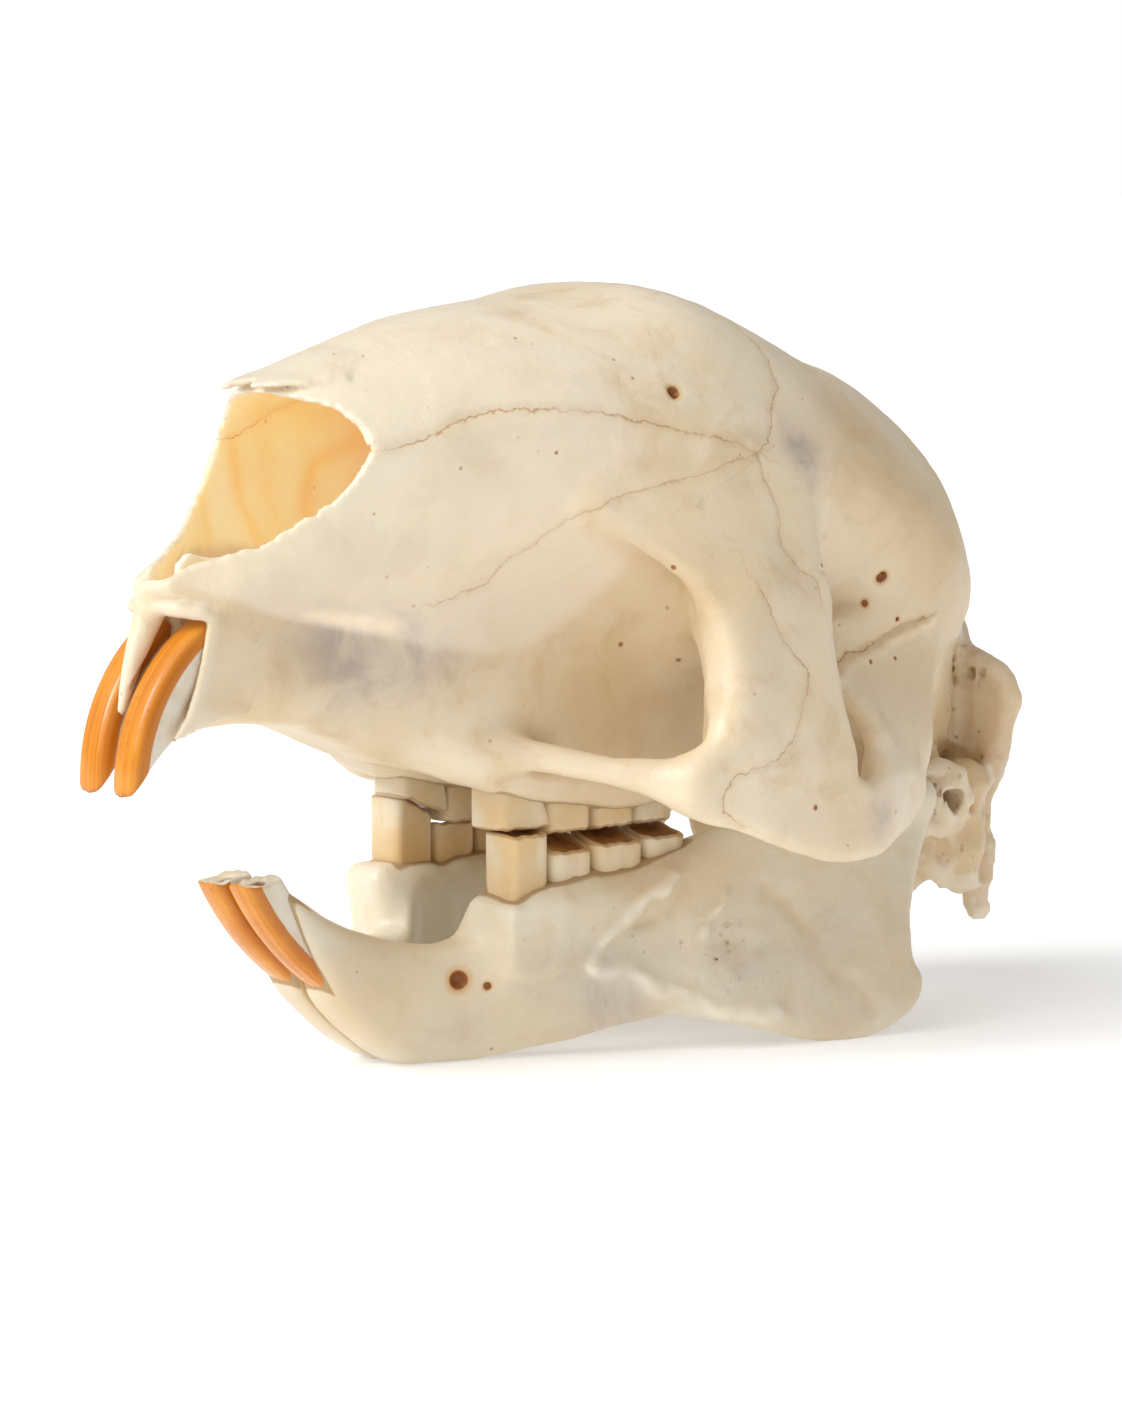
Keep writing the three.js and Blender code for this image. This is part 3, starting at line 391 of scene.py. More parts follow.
def cranium_shape(p):
    x, y, z = p
    skinned = skin(p, BODY, False)
    for line, height, width in SNOUT_RELIEF:
        skinned = skinned - height * ramp(x, 5, 9) * crest(along(y, z, line), width)
    cheek_plate = cheek(p)
    bar = limb(p, CHEEK_BAR)
    d = meet(skinned, y - 74 + 0.12 * (z - 55), 5)
    set_back = 0.75 * np.maximum(x - 0.8, 0) * ramp(z, 61.5, 64.5)
    d = np.maximum(d, -outline(y - set_back, z, MUZZLE))
    d = blend(d, limb(p, NOSE_SPINE), 1.5)
    d = blend(d, cheek_plate, 5)
    d = blend(d, bar, 4)
    d = blend(d, limb(p, CHEEK_STRUT), 5)
    d = carve(d, blob(p, *CHEEK_HOLLOW), 4)
    d = np.minimum(d, blend(cheek_plate, bar, 3))
    d = blend(d, limb(p, CHEEK_RIM), 4)
    d = carve(d, limb(p, CHEEK_PASSAGE), 1.6)
    d = blend(d, temple(p), 3)
    d = blend(d, rear(p), 3)
    d = blend(d, blob(p, *EAR_CHAMBER), 3)
    d = blend(d, limb(p, EAR_TUBE), 2)
    d = blend(d, limb(p, HANGING_PROCESS), 2)
    d = blend(d, blob(p, *NECK_KNOB), 2)
    d = blend(d, limb(p, PALATE_WING), 3)
    # the wall thins towards the broken rim of the nasal opening
    rim = outline(y, z, OPENING)
    wall = RIM_WALL + (WALL - RIM_WALL) * ramp(rim, 8, 40)
    lined = meet(skinned + wall, blob(p, *NASAL_HOLLOW), 4)
    d = carve(d, meet(lined, 64.5 - 0.25 * (y + 50) - z, 3), 1)
    ragged = 0.45 * noise(p, 1.7, 3) + 0.5 * noise(p, 4.1, 4) + 0.25 * noise(p, 0.9, 5)
    low = 1 - ramp(z, 74, 80)
    d = np.maximum(d, -rim - ragged * (0.25 + 0.75 * low))
    brain = blend(blob(p, *BRAIN_HOLLOW), limb(p, GREAT_HOLE), 5)
    d = carve(d, brain, 2)
    d = carve(d, limb(p, EAR_HOLE), 0.6)
    near = (x > 14) & (y > 28) & (z < 44)
    if near.any():
        q = tuple(c[near] for c in p)
        d[near] = np.maximum(d[near], JOINT_GAP - jaw_half(q))
    return d


# Seams, holes and pits
# Seams in the side view: each point (y, z), from the front to the back. They were picked by eye on the
# photograph, and a scratch program worked out their millimetres on the solids, as for the holes below.
SEAMS = {
    "seam_nasal": [(-41, 82.6), (-36, 83.5), (-33.2, 83.8), (-29.1, 85), (-24.7, 87), (-19.1, 88.1),
                   (-12.4, 88.1), (-5.6, 87.6), (1.2, 86), (8.3, 84.4), (13.8, 83.3), (17.3, 81.7)],
    "seam_crown": [(17.3, 81.7), (20.9, 83.8), (22.7, 87), (26.1, 90.1), (26.6, 92.6), (27.3, 95.2),
                   (26.8, 96.5), (28, 99)],
    "seam_maxilla": [(-23.5, 63.2), (-16.6, 65.1), (-14.5, 68), (-11.1, 71), (-8.7, 73.9), (-5.1, 76.2),
                     (0.5, 77.8), (7.6, 79.1), (12.4, 80.6), (17.3, 81.7)],
    "seam_parietal": [(17.3, 81.7), (18.4, 78), (20.9, 74), (20.7, 69.4), (23.4, 66), (26.6, 64.5),
                      (26.5, 61.9)],
    "seam_cheek": [(14.5, 64), (16, 60.5), (18.2, 57), (21.5, 52.5), (19.2, 48.8), (16.9, 45), (13.4, 42),
                   (6.5, 40.5), (4.5, 38), (5.4, 35.4), (8.3, 33.8)],
    "seam_temple": [(34, 51.6), (37.8, 53.3), (43.1, 54.3), (48.1, 56.3), (50.7, 57), (53.4, 57.5)],
}
# How far out from the middle plane each seam starts and ends
SEAM_REACH = {
    "seam_nasal": (6, 60), "seam_crown": (6, 60), "seam_maxilla": (6, 60), "seam_parietal": (22, 60),
    "seam_cheek": (31, 60), "seam_temple": (20, 30.5),
}

# Holes through the outer bone: place and radius
HOLES = [
    ((25.7, 6.5, 89.7), 0.8), ((26.3, 44.7, 63.5), 0.75), ((25.2, 42.8, 60.0), 0.5),
    ((25.4, 48.4, 57.6), 0.4),
]
JAW_HOLES = [((10.2, -17.2, 12.9), 1.15), ((11.5, -13.4, 11.9), 0.5)]
# Ridges and furrows of the jaw's outer side: the line (y, z), the height and the half width
JAW_RIDGES = [
    ([(0.8, 13.2), (2.4, 16.8), (6, 19.6), (9.5, 22), (13, 24.6)], 1.1, 1.1),
    ([(0.8, 13.2), (6, 12), (10.5, 9.4), (16, 7.2), (24, 5.6)], 0.9, 1.4),
    ([(19.8, 22), (17.6, 19), (15.6, 16.4)], 0.7, 0.8),
    ([(26, 22.6), (30, 17.5), (34, 11), (40, 5)], -0.35, 1.5),
    ([(7, 17.8), (11, 19.5), (15, 22.4)], -0.4, 0.9),
]


# Small forms round the ear, each a run of points with radii
STOUT_PROCESS = [(17.4, 65, 30, 4.0), (18.4, 66, 24, 3.7), (19.3, 66.8, 20, 2.8)]
EAR_FOLDS = [
    [(20.5, 55, 35, 1.5), (23, 58, 37, 1.3), (24.2, 61.5, 35, 1.3), (24, 63.5, 31.5, 1.2),
     (22.4, 63.5, 28, 1.2)],
    [(22, 56, 28.5, 1.5), (23.2, 59.5, 27.6, 1.2), (22.4, 63.5, 28, 1.2)],
    [(20.5, 58, 24, 1.4), (20.6, 61.5, 21.5, 1.2), (20, 65, 20, 1.2)],
]
EAR_SLITS = [
    [(22, 56, 38.4, 0.9), (22.4, 62, 39, 1.0), (21, 66.5, 36.5, 0.7)],
    [(24.5, 60, 32, 1.7), (21, 59, 31, 1.6)],
    [(21.5, 66, 33, 0.5), (21.2, 66.6, 27, 0.5), (20.8, 67, 22.5, 0.4)],
]


def drilled(p, d, holes):
    for centre, radius in holes:
        far = np.sqrt(sum((p[i] - centre[i]) ** 2 for i in range(3)))
        d = np.maximum(d, radius - far)
    return d


def cranium_detail(p, d):
    """What is added to the shape near its surface: lumps, seams, holes and pores."""
    x, y, z = p
    d = d + 0.16 * noise(p, 7, 11) + 0.07 * noise(p, 2.6, 12) + 0.03 * noise(p, 1.2, 13)
    for name, line in SEAMS.items():
        low, high = SEAM_REACH[name]
        s = along(y + 0.5 * noise(p, 1.6, 21), z + 0.5 * noise(p, 1.6, 22), line)
        on = ramp(x, low, low + 2) * (1 - ramp(x, high - 1, high))
        deep = 0.5 if name == "seam_temple" else 0.2
        d = d + deep * on * crest(s, 0.4)
        if name == "seam_temple":
            d = d - 0.5 * on * crest(s + 1.1, 0.8)
    d = drilled(p, d, HOLES)
    # rough patches of the outer side
    patch = (bell(y, z, (29, 66), (3.5, 5)) + 0.8 * bell(y, z, (68, 40), (6, 14))
             + 0.5 * bell(y, z, (-5, 47), (9, 3)))
    pore = pores(p, 1.7, 31, 0.55)
    d = np.maximum(d, np.where(patch > 0.25, (0.42 * np.minimum(patch, 1.2) - pore), -9))
    return ear_detail(p, d)


def ear_detail(p, d):
    """The folded and pitted bone round the ear, and the hollowed plate behind it."""
    x, y, z = p
    d = blend(d, limb(p, STOUT_PROCESS), 1.5)
    for points in EAR_FOLDS:
        d = blend(d, limb(p, points), 0.9)
    for points in EAR_SLITS:
        d = carve(d, limb(p, points), 0.7)
    # the middle of the rear plate is hollow and its rim stands up
    hollow = bell(x, z, (17, 49), (5, 6.5)) * ramp(y, 64, 69)
    d = d + 0.6 * hollow
    behind = 0.4 * ramp(y, 64, 70) * (1 - ramp(z, 52, 58))
    rough = np.maximum(ramp(y, 52, 58) * (1 - ramp(z, 36, 42)), behind)
    folds = 1 - 2 * np.abs(noise(p, 3.4, 41))
    d = d + rough * (-0.5 * folds + 0.25 * noise(p, 1.5, 42))
    pore = pores(p, 2.1, 43, 0.5)
    return np.maximum(d, np.where((rough > 0.2) & (d > -0.5), 0.38 * np.minimum(rough * 1.3, 1) - pore, -9))


def jaw_pitted(p):
    """How pitted the jaw's outer side is, from 0 to about 1."""
    x, y, z = p
    deep = bell(y, z, (19, 15), (10, 6))
    scar = 0.8 * bell(y, z, (5, 18), (5, 4.5))
    return (deep + scar) * ramp(x, 12, 16)


def jaw_relief(p):
    """Ridges above 0 and furrows below 0, on the jaw's outer side."""
    x, y, z = p
    outer = ramp(x, 11, 14)
    bent_y, bent_z = y + 0.8 * noise(p, 3.1, 64), z + 0.8 * noise(p, 3.1, 65)
    total = 0
    for line, height, width in JAW_RIDGES:
        s = along(bent_y, bent_z, line)
        total = total + height * outer * crest(s, width) * (0.8 + 0.5 * noise(p, 1.7, 66))
    return total


def jaw_detail(p, d):
    x, y, z = p
    d = d + 0.14 * noise(p, 6, 51) + 0.07 * noise(p, 2.4, 52) + 0.03 * noise(p, 1.1, 53)
    d = drilled(p, d, JAW_HOLES)
    # the pitted hollow where the chewing muscle held
    hollow = bell(y, z, (19, 15), (10, 5.5)) * ramp(x, 12, 16)
    d = d + 1.0 * hollow * (0.7 + 0.5 * noise(p, 4, 61) + 0.3 * noise(p, 1.9, 63))
    d = d - jaw_relief(p)
    pore, pitted = pores(p, 2.1, 62, 0.7), jaw_pitted(p)
    return np.maximum(d, np.where(pitted > 0.3, 0.42 * np.minimum(pitted, 1) - pore, -9))


# Surfaces
def neighbours(axis):
    """Slices that pair each point of a grid with the next one along an axis."""
    a, b = [slice(None)] * 3, [slice(None)] * 3
    a[axis], b[axis] = slice(0, -1), slice(1, None)
    return tuple(a), tuple(b)


def sampled(shape, low, high, step):
    """Values of a field on a grid, worked out finely only near its surface."""
    levels = 2
    coarse = step * 2 ** levels
    count = [int(math.ceil((high[i] - low[i]) / coarse)) for i in range(3)]
    axes = [low[i] + coarse * np.arange(count[i] + 1) for i in range(3)]
    grid = np.meshgrid(*axes, indexing="ij")
    values = shape(tuple(g.ravel() for g in grid)).reshape(grid[0].shape)
    for level in range(levels):
        spacing = coarse / 2 ** level
        near = np.abs(values)
        for axis in range(3):
            a, b = neighbours(axis)
            near = np.minimum(near[a], near[b])
        cells = near < 1.5 * spacing
        fine = values
        for axis in range(3):
            shape_ = list(fine.shape)
            shape_[axis] = shape_[axis] * 2 - 1
            out = np.empty(shape_)
            at = [slice(None)] * 3
            at[axis] = slice(0, None, 2)
            out[tuple(at)] = fine
            a, b = neighbours(axis)
            at[axis] = slice(1, None, 2)
            out[tuple(at)] = (fine[a] + fine[b]) / 2
            fine = out
        wanted = np.zeros(fine.shape, bool)
        for i in range(3):
            for j in range(3):
                for k in range(3):
                    n = cells.shape
                    wanted[i:i + 2 * n[0]:2, j:j + 2 * n[1]:2, k:k + 2 * n[2]:2] |= cells
        spacing /= 2
        axes = [low[i] + spacing * np.arange(fine.shape[i]) for i in range(3)]
        index = np.nonzero(wanted)
        fine[index] = shape(tuple(axes[i][index[i]] for i in range(3)))
        values = fine
    return values, axes


def netted(values, axes):
    """A quad mesh of the zero surface: one point in each cell that it crosses."""
    inside = values < 0
    cells = tuple(n - 1 for n in values.shape)
    total = int(np.prod(cells))
    sums = [np.zeros(total) for _ in range(3)]
    hits = np.zeros(total)
    quads = []
    step = axes[0][1] - axes[0][0]
    start = [a[0] for a in axes]
    for axis in range(3):
        a, b = neighbours(axis)
        va, vb = values[a], values[b]
        index = np.nonzero(inside[a] != inside[b])
        from_, to = va[index], vb[index]
        t = from_ / (from_ - to)
        place = [start[i] + step * (index[i] + (t if i == axis else 0)) for i in range(3)]
        u, v = (axis + 1) % 3, (axis + 2) % 3
        corners = []
        good = np.ones(len(t), bool)
        for du, dv in ((0, 0), (-1, 0), (-1, -1), (0, -1)):
            cell = list(index)
            cell[u] = index[u] + du
            cell[v] = index[v] + dv
            good &= (cell[u] >= 0) & (cell[u] < cells[u]) & (cell[v] >= 0) & (cell[v] < cells[v])
            corners.append(cell)
        flat = []
        for cell in corners:
            cell = [c[good] for c in cell]
            number = np.ravel_multi_index(cell, cells)
            flat.append(number)
            for i in range(3):
                sums[i] += np.bincount(number, place[i][good], total)
            hits += np.bincount(number, minlength=total)
        turned = inside[a][index][good]
        quad = np.stack(flat, axis=1)
        quad[~turned] = quad[~turned][:, ::-1]
        quads.append(quad)
    used = np.nonzero(hits)[0]
    points = np.stack([s[used] / hits[used] for s in sums], axis=1)
    renumber = np.full(total, -1)
    renumber[used] = np.arange(len(used))
    return points, renumber[np.concatenate(quads)]


def object_of(name, points, faces):
    mesh = bpy.data.meshes.new(name)
    mesh.vertices.add(len(points))
    mesh.vertices.foreach_set("co", ((points + DATUM) * MM).astype(np.float32).ravel())
    faces = np.asarray(faces)
    size = faces.shape[1]
    mesh.loops.add(faces.size)
    mesh.loops.foreach_set("vertex_index", faces.astype(np.int32).ravel())
    mesh.polygons.add(len(faces))
    mesh.polygons.foreach_set("loop_start", np.arange(0, faces.size, size, dtype=np.int32))
    mesh.update(calc_edges=True)
    mesh.validate()
    mesh.polygons.foreach_set("use_smooth", np.ones(len(mesh.polygons), bool))
    made = bpy.data.objects.new(name, mesh)
    bpy.context.scene.collection.objects.link(made)
    return made


def thinned(made, limit):
    """Applies a collapse so that the piece keeps under limit triangles."""
    triangles = sum(len(p.vertices) - 2 for p in made.data.polygons)
    if triangles <= limit:
        return
    change = made.modifiers.new("collapse", "DECIMATE")
    change.ratio = limit / triangles
    bpy.context.view_layer.update()
    held = made.evaluated_get(bpy.context.evaluated_depsgraph_get())
    mesh = bpy.data.meshes.new_from_object(held)
    made.modifiers.clear()
    made.data = mesh
    mesh.polygons.foreach_set("use_smooth", np.ones(len(mesh.polygons), bool))


def vectors(made, kind):
    out = np.empty(len(made.data.vertices) * 3, np.float32)
    made.data.vertices.foreach_get(kind, out)
    return out.reshape(-1, 3).astype(float)


def drawn(made):
    """A piece's vertices in the drawn frame, in millimetres."""
    return vectors(made, "co") / MM - DATUM


def normals(made):
    return vectors(made, "normal")


def folded(at):
    """Points of both sides, laid onto the left side."""
    return (np.abs(at[:, 0]), at[:, 1], at[:, 2])


def attribute(made, name, values):
    layer = made.data.attributes.new(name, "FLOAT", "POINT")
    layer.data.foreach_set("value", np.asarray(values, np.float32))


def block(p, low, high, edge):
    """A box with round edges."""
    q = [np.abs(p[i] - (low[i] + high[i]) / 2) - (high[i] - low[i]) / 2 + edge for i in range(3)]
    out = np.sqrt(sum(np.maximum(c, 0) ** 2 for c in q))
    return out + np.minimum(np.maximum(np.maximum(q[0], q[1]), q[2]), 0) - edge


# The upright plate on the nasal floor, seen from the side
SEPTUM = [(-56.4, 66.6), (-55.6, 69), (-54.3, 70.6), (-53, 70.2), (-50, 69.6), (-45.4, 69.8), (-38, 68.6),
          (-34, 62), (-34, 59), (-56, 59)]
# The thin front edge of the roof, seen from above, as (x, y)
ROOF_EDGE = [(-9, -35), (-7, -40), (-4.4, -43.2), (-2.6, -46.8), (-1.2, -44.2), (0.4, -43.4), (2.2, -45.2),
             (4.2, -43.6), (7, -40), (9, -35), (6, -31), (-6, -31)]
# The thin outer wall of the upper incisor's socket, seen from the side
SOCKET_WALL = [(-56.0, 63.4), (-57, 58.8), (-58.3, 53.8), (-60.1, 50.1), (-62.2, 47.4), (-58.3, 48.6),
               (-54, 49.6), (-50, 50), (-50, 63)]
SOCKET_BROW = [(2.2, -60.2, 63.9, 0.9), (4.4, -59.0, 63.7, 1.0), (6.7, -56.6, 63.2, 0.9)]
CHIPS = [[(-14.4, -37.2, 84.8, 0.4), (-15.6, -33.5, 85.2, 0.5), (-16.6, -30, 86.2, 0.3)]]


def nose_forms(p):
    """The plate on the nasal floor, the roof's thin edge, the socket walls and a flake on the far wall."""
    x, y, z = p
    out = np.abs(x)
    d = meet(outline(y, z, SEPTUM), np.abs(x + 0.4 * noise(p, 6, 81)) - 0.55, 0.5)
    roof = 91 + 0.25 * (y + 46.8) - 0.022 * x * x
    d = np.minimum(d, meet(outline(x, y, ROOF_EDGE) + 0.3 * noise(p, 1.9, 83), np.abs(z - roof) - 0.4, 0.3))
    d = np.minimum(d, meet(outline(y, z, SOCKET_WALL), np.abs(out - 7.25) - 0.6, 0.5))
    d = np.minimum(d, limb((out, y, z), SOCKET_BROW))
    for points in CHIPS:
        d = np.minimum(d, limb(p, points))
    return d + 0.1 * noise(p, 1.3, 82)


def added(values, axes, shape, low, high, soft):
    """Joins a small form to a field inside a box, and leaves the rest as it is."""
    part = tuple(slice(*np.searchsorted(axes[i], (low[i], high[i]))) for i in range(3))
    grid = np.meshgrid(*(axes[i][part[i]] for i in range(3)), indexing="ij")
    extra = shape(tuple(g.ravel() for g in grid)).reshape(grid[0].shape)
    values[part] = blend(values[part], extra, soft)


def detailed(values, axes, detail, side=1):
    """Changes a field near its surface; side -1 draws the detail mirrored."""
    index = np.nonzero(np.abs(values) < DETAIL_REACH)
    x, y, z = (axes[i][index[i]] for i in range(3))
    values[index] = detail((x * side, y, z), values[index])


# The cranium is worked out for its left half and mirrored, then given its uneven detail
half, axes = sampled(cranium_shape, (0, -70, 9), (42, 86, 109), STEP)
whole = np.concatenate([half[:0:-1], half])
axes = [np.concatenate([-axes[0][:0:-1], axes[0]]), axes[1], axes[2]]
detailed(whole, axes, cranium_detail)
added(whole, axes, nose_forms, (-19, -66, 45), (12, -28, 96), 0.9)
cranium = object_of("cranium_bone", *netted(whole, axes))
thinned(cranium, PIECE_FACES)


def jaw_shape(p):
    x, y, z = p
    d = np.maximum(jaw_half(p), 1.4 - z)
    # the bone stands up round the sockets of the cheek teeth
    lean = 0.16 * (22 - z)
    d = blend(d, block((x + lean, y - 0.12 * (22 - z), z), (7.7, -13.1, 13), (16.2, -4.4, 23.0), 0.9), 3.0)
    return blend(d, block((x + lean, y, z), (9, -5, 14), (16.2, 3, 23.2), 1.0), 2.5)


def far_socket(p):
    """The right jaw's bone stands higher in front of its first tooth."""
    low, high = (7.6, -15.2, 12), (16.4, -4.4, 25.8)
    return block((-p[0], p[1] - 0.2 * (22 - p[2]), p[2]), low, high, 2.4) + 0.3 * noise(p, 3.2, 55)


values, jaw_axes = sampled(jaw_shape, (-1, -48, 0), (34, 60, 40), STEP)
jaws = []
for side, name in ((1, "jaw_left"), (-1, "jaw_right")):
    piece = values if side > 0 else values[::-1]
    around = [jaw_axes[0] if side > 0 else -jaw_axes[0][::-1], jaw_axes[1], jaw_axes[2]]
    piece = piece.copy()
    detailed(piece, around, jaw_detail, side)
    if side < 0:
        added(piece, around, far_socket, (-22, -22, 6), (-3, 2, 27), 3.0)
    made = object_of(name, *netted(piece, around))
    thinned(made, JAW_FACES)
    jaws.append(made)


# Teeth
UPPER_TEETH = [
    ("premolar", -12.6, -4.5, 6.4, 13.4, 32.3, 43),
    ("molar_1", -4.2, 3.9, 6.6, 13.6, 30.9, 41),
    ("molar_2", 4.2, 11.6, 6.8, 13.6, 30.9, 41),
    ("molar_3", 11.9, 19, 7.1, 13.2, 30.9, 41),
]
LOWER_TEETH = [
    ("premolar", -11.7, -5.2, 8.4, 15, 32, 20),
    ("molar_1", -4.9, 2.5, 8.3, 15.3, 30.1, 21),
    ("molar_2", 2.8, 11.6, 8.4, 15.5, 30.2, 21.5),
    ("molar_3", 11.9, 19.4, 8.7, 15.4, 30.1, 22.5),
]


def lofted(rings, inward):
    """A closed skin through rings; inward lists the rings that close the worn end."""
    rings = rings + inward
    count = len(rings[0])
    points = np.concatenate([np.array(r) for r in rings] + [
        np.mean(rings[0], axis=0)[None], np.mean(rings[-1], axis=0)[None]])
    faces = []
    for r in range(len(rings) - 1):
        for n in range(count):
            m = (n + 1) % count
            faces.append((r * count + n, r * count + m, (r + 1) * count + m))
            faces.append((r * count + n, (r + 1) * count + m, (r + 1) * count + n))
    first, last = len(points) - 2, len(points) - 1
    end = (len(rings) - 1) * count
    for n in range(count):
        m = (n + 1) % count
        faces.append((first, m, n))
        faces.append((last, end + n, end + m))
    return points, np.array(faces)


def outward(points, faces):
    """Turns the faces over if they point into the piece."""
    a, b, c = (points[faces[:, i]] for i in range(3))
    volume = np.einsum("ij,ij->i", a, np.cross(b, c)).sum()
    return faces if volume > 0 else faces[:, ::-1]


def square(v, power=0.6):
    return np.sign(v) * np.abs(v) ** power


# How far the biting face of each lower cheek tooth slopes down to the cheek side
WORN = {"premolar": 0.3, "molar_1": 1.1, "molar_2": 0.8, "molar_3": 0.5}


def cheek_tooth(name, kind, numbers, side, seed):
    front, back, inner, outer, bite, root = numbers
    count = 72
    turn = np.arange(count) / count * 2 * math.pi
    half_x, half_y = (outer - inner) / 2, (back - front) / 2
    mid_x, mid_y = (inner + outer) / 2, (front + back) / 2
    up = 1 if bite > root else -1
    length = abs(bite - root)
    groove = 0.25 if kind == "premolar" else 0.05

    def worn(u, v):
        """How the biting face departs from a level one."""
        low = 0.0 * u
        if up > 0:
            low = -WORN[kind] * ramp(u / half_x, -0.2, 1.0)
            if kind != "premolar":
                low = low + 0.7 * (1 - ramp(u / half_x, -0.7, 0.1))
        if kind == "premolar" and side < 0:
            low = low + 2.8 * (1 - ramp(v / half_y, -1.2, 1.1)) + (0.4 if up > 0 else 0.0)
        if kind != "premolar" and up < 0:
            low = low + 0.5 * ramp(u / half_x, 0.0, 1.0)
        return low + 0.10 * np.sin(3.1 * v + seed)

    def ring(t, in_=0.0, sink=0.0, size=1.0):
        """t runs from the root, 0, to the biting face, 1."""
        shrink = np.clip(1 - in_ / min(half_x, half_y), 0.05, 1)
        power = 0.40 if kind == "premolar" else 0.5
        u = half_x * square(np.cos(turn), power) * size * shrink
        v = half_y * square(np.sin(turn), power) * size * shrink
        cut = (0.12 if kind == "premolar" else 0.34) * np.exp(-((v / half_y - groove) / 0.15) ** 2)
        cut = cut + 0.08 * np.exp(-((v / half_y + 0.45) / 0.2) ** 2)
        u = u - np.sign(u) * cut * shrink ** 2 * np.minimum(np.abs(np.cos(turn)) * 2.5, 1)
        top = bite + worn(u, v)
        z = root + (top - root) * t - up * sink
        x, y = mid_x + u, mid_y + v
        if kind == "premolar" and up < 0:
            flare = ramp(t, 0.55, 1.0) * np.maximum(v / half_y, 0)
            x, y = x + 0.35 * flare, y + 1.1 * flare
        grow = 0.03 * noise((x, y, z * 0.25), 1.5, seed) + 0.03 * noise((x, y, z), 3.0, seed + 1)
        reach = np.maximum(np.hypot(u, v), 0.1)
        x = x + u / reach * (grow - 0.03)
        y = y + v / reach * (grow - 0.03)
        return np.stack([x * side, y, z], axis=1)

    rings = [ring(t, 0, 0, 0.8 + 0.2 * min(1, t * length / 5.5) ** 0.8) for t in np.linspace(0, 0.95, 22)]
    edge = 0.42
    for a in (20, 45, 70, 88):
        a = math.radians(a)
        rings.append(ring(1.0, edge * (1 - math.cos(a)), edge * (1 - math.sin(a))))
    dished = ((0.6, 0.02), (0.8, 0.25), (1.2, 0.4), (1.8, 0.3), (2.4, 0.4))
    inward = [ring(1.0, in_, sink) for in_, sink in dished]
    points, faces = lofted(rings, inward)
    made = object_of(name, points, outward(points, faces))
    level = np.concatenate([np.repeat(np.linspace(0, 0.95, 22), count), np.ones(9 * count), [0, 1]])
    face = np.concatenate([np.zeros(26 * count), np.repeat([0.15, 0.7, 1, 1, 1], count), [0, 1]])
    attribute(made, "bite", (1 - level) * length)
    attribute(made, "dentine", face)
    return made


UPPER_INCISOR = {"y": -43, "z": 41.5, "radius": 24.5, "deep": 6.8, "wide": 5.8, "root": 100, "root_x": 4.4,
                 "tip": 183, "tip_x": 3.5, "slant": 26}
LOWER_INCISOR = {"y": -14, "z": 46, "radius": 39.7, "deep": 6.2, "wide": 5.5, "root": 243, "root_x": 3.5,
                 "tip": 208, "tip_x": 3.2, "slant": -4}


def incisor(name, numbers, side, broken):
    c = numbers
    count, steps = 60, 60
    turn = np.arange(count) / count * 2 * math.pi
    base_u = c["wide"] / 2 * square(np.cos(turn), 0.62)
    base_v = c["deep"] / 2 * square(np.sin(turn), 0.62)

    def ring(t, size=1.0, sink=0.0):
        u, v = base_u * size, base_v * size
        # the enamel stands a little proud of the dentine, with fine grooves along the tooth
        front = ramp(v / c["deep"], 0.14, 0.20)
        u = u + np.sign(u) * (-0.16 * (1 - front)) * size
        v = v - 0.10 * front * np.exp(-((u - 0.9) / 0.5) ** 2) * size
        v = v - 0.06 * front * np.exp(-((u + 1.1) / 0.35) ** 2) * size
        reach = c["radius"] - c["deep"] / 2 + v
        inner = 0.5 - v / c["deep"]
        end = c["tip"] - c["slant"] * inner
        if broken:
            q = (u * side, v, np.full(count, 3.0 * side))
            end = end + 0.9 * noise(q, 2.1, 71) + 0.5 * noise(q, 0.9, 72)
        at = np.radians(c["root"] + (end - c["root"]) * t)
        at = at + np.sign(c["root"] - c["tip"]) * sink / c["radius"]
        x = c["root_x"] + (c["tip_x"] - c["root_x"]) * t + u
        return np.stack([x * side, c["y"] + np.cos(at) * reach, c["z"] + np.sin(at) * reach], axis=1), u, v

    rings, us, vs = [], [], []
    for t in np.linspace(0, 1, steps):
        size = 0.985 if t < 0.99 else 0.95
        r, u, v = ring(t, size)
        rings.append(r)
        us.append(u)
        vs.append(v)
    inward = []
    shape = ((0.86, 0.05), (0.72, 0.2), (0.55, 0.3), (0.4, 0.35), (0.25, 0.4), (0.12, 0.4))
    if broken:
        shape = ((0.88, 0.0), (0.74, 0.25), (0.58, 0.15), (0.42, 0.3), (0.3, 0.7), (0.2, 1.8), (0.1, 2.4))
    for size, sink in shape:
        r, u, v = ring(1.0, size, sink)
        inward.append(r)
        us.append(u)
        vs.append(v)
    points, faces = lofted(rings, inward)
    made = object_of(name, points, outward(points, faces))
    u = np.concatenate(us + [[0, 0]])
    v = np.concatenate(vs + [[0, 0]])
    around = np.arange(len(u))
    sides = around < steps * count
    enamel = np.where(sides, v / c["deep"], -0.5)
    attribute(made, "enamel", enamel)
    attribute(made, "across", u)
    along_ = np.concatenate([np.repeat(np.linspace(0, 1, steps), count),
                             np.ones(len(u) - steps * count)])
    attribute(made, "along", along_)
    inner_size = np.concatenate([np.ones(steps * count), np.repeat([s for s, _ in shape], count), [1, 0]])
    attribute(made, "pulp", 1 - inner_size)
    return made


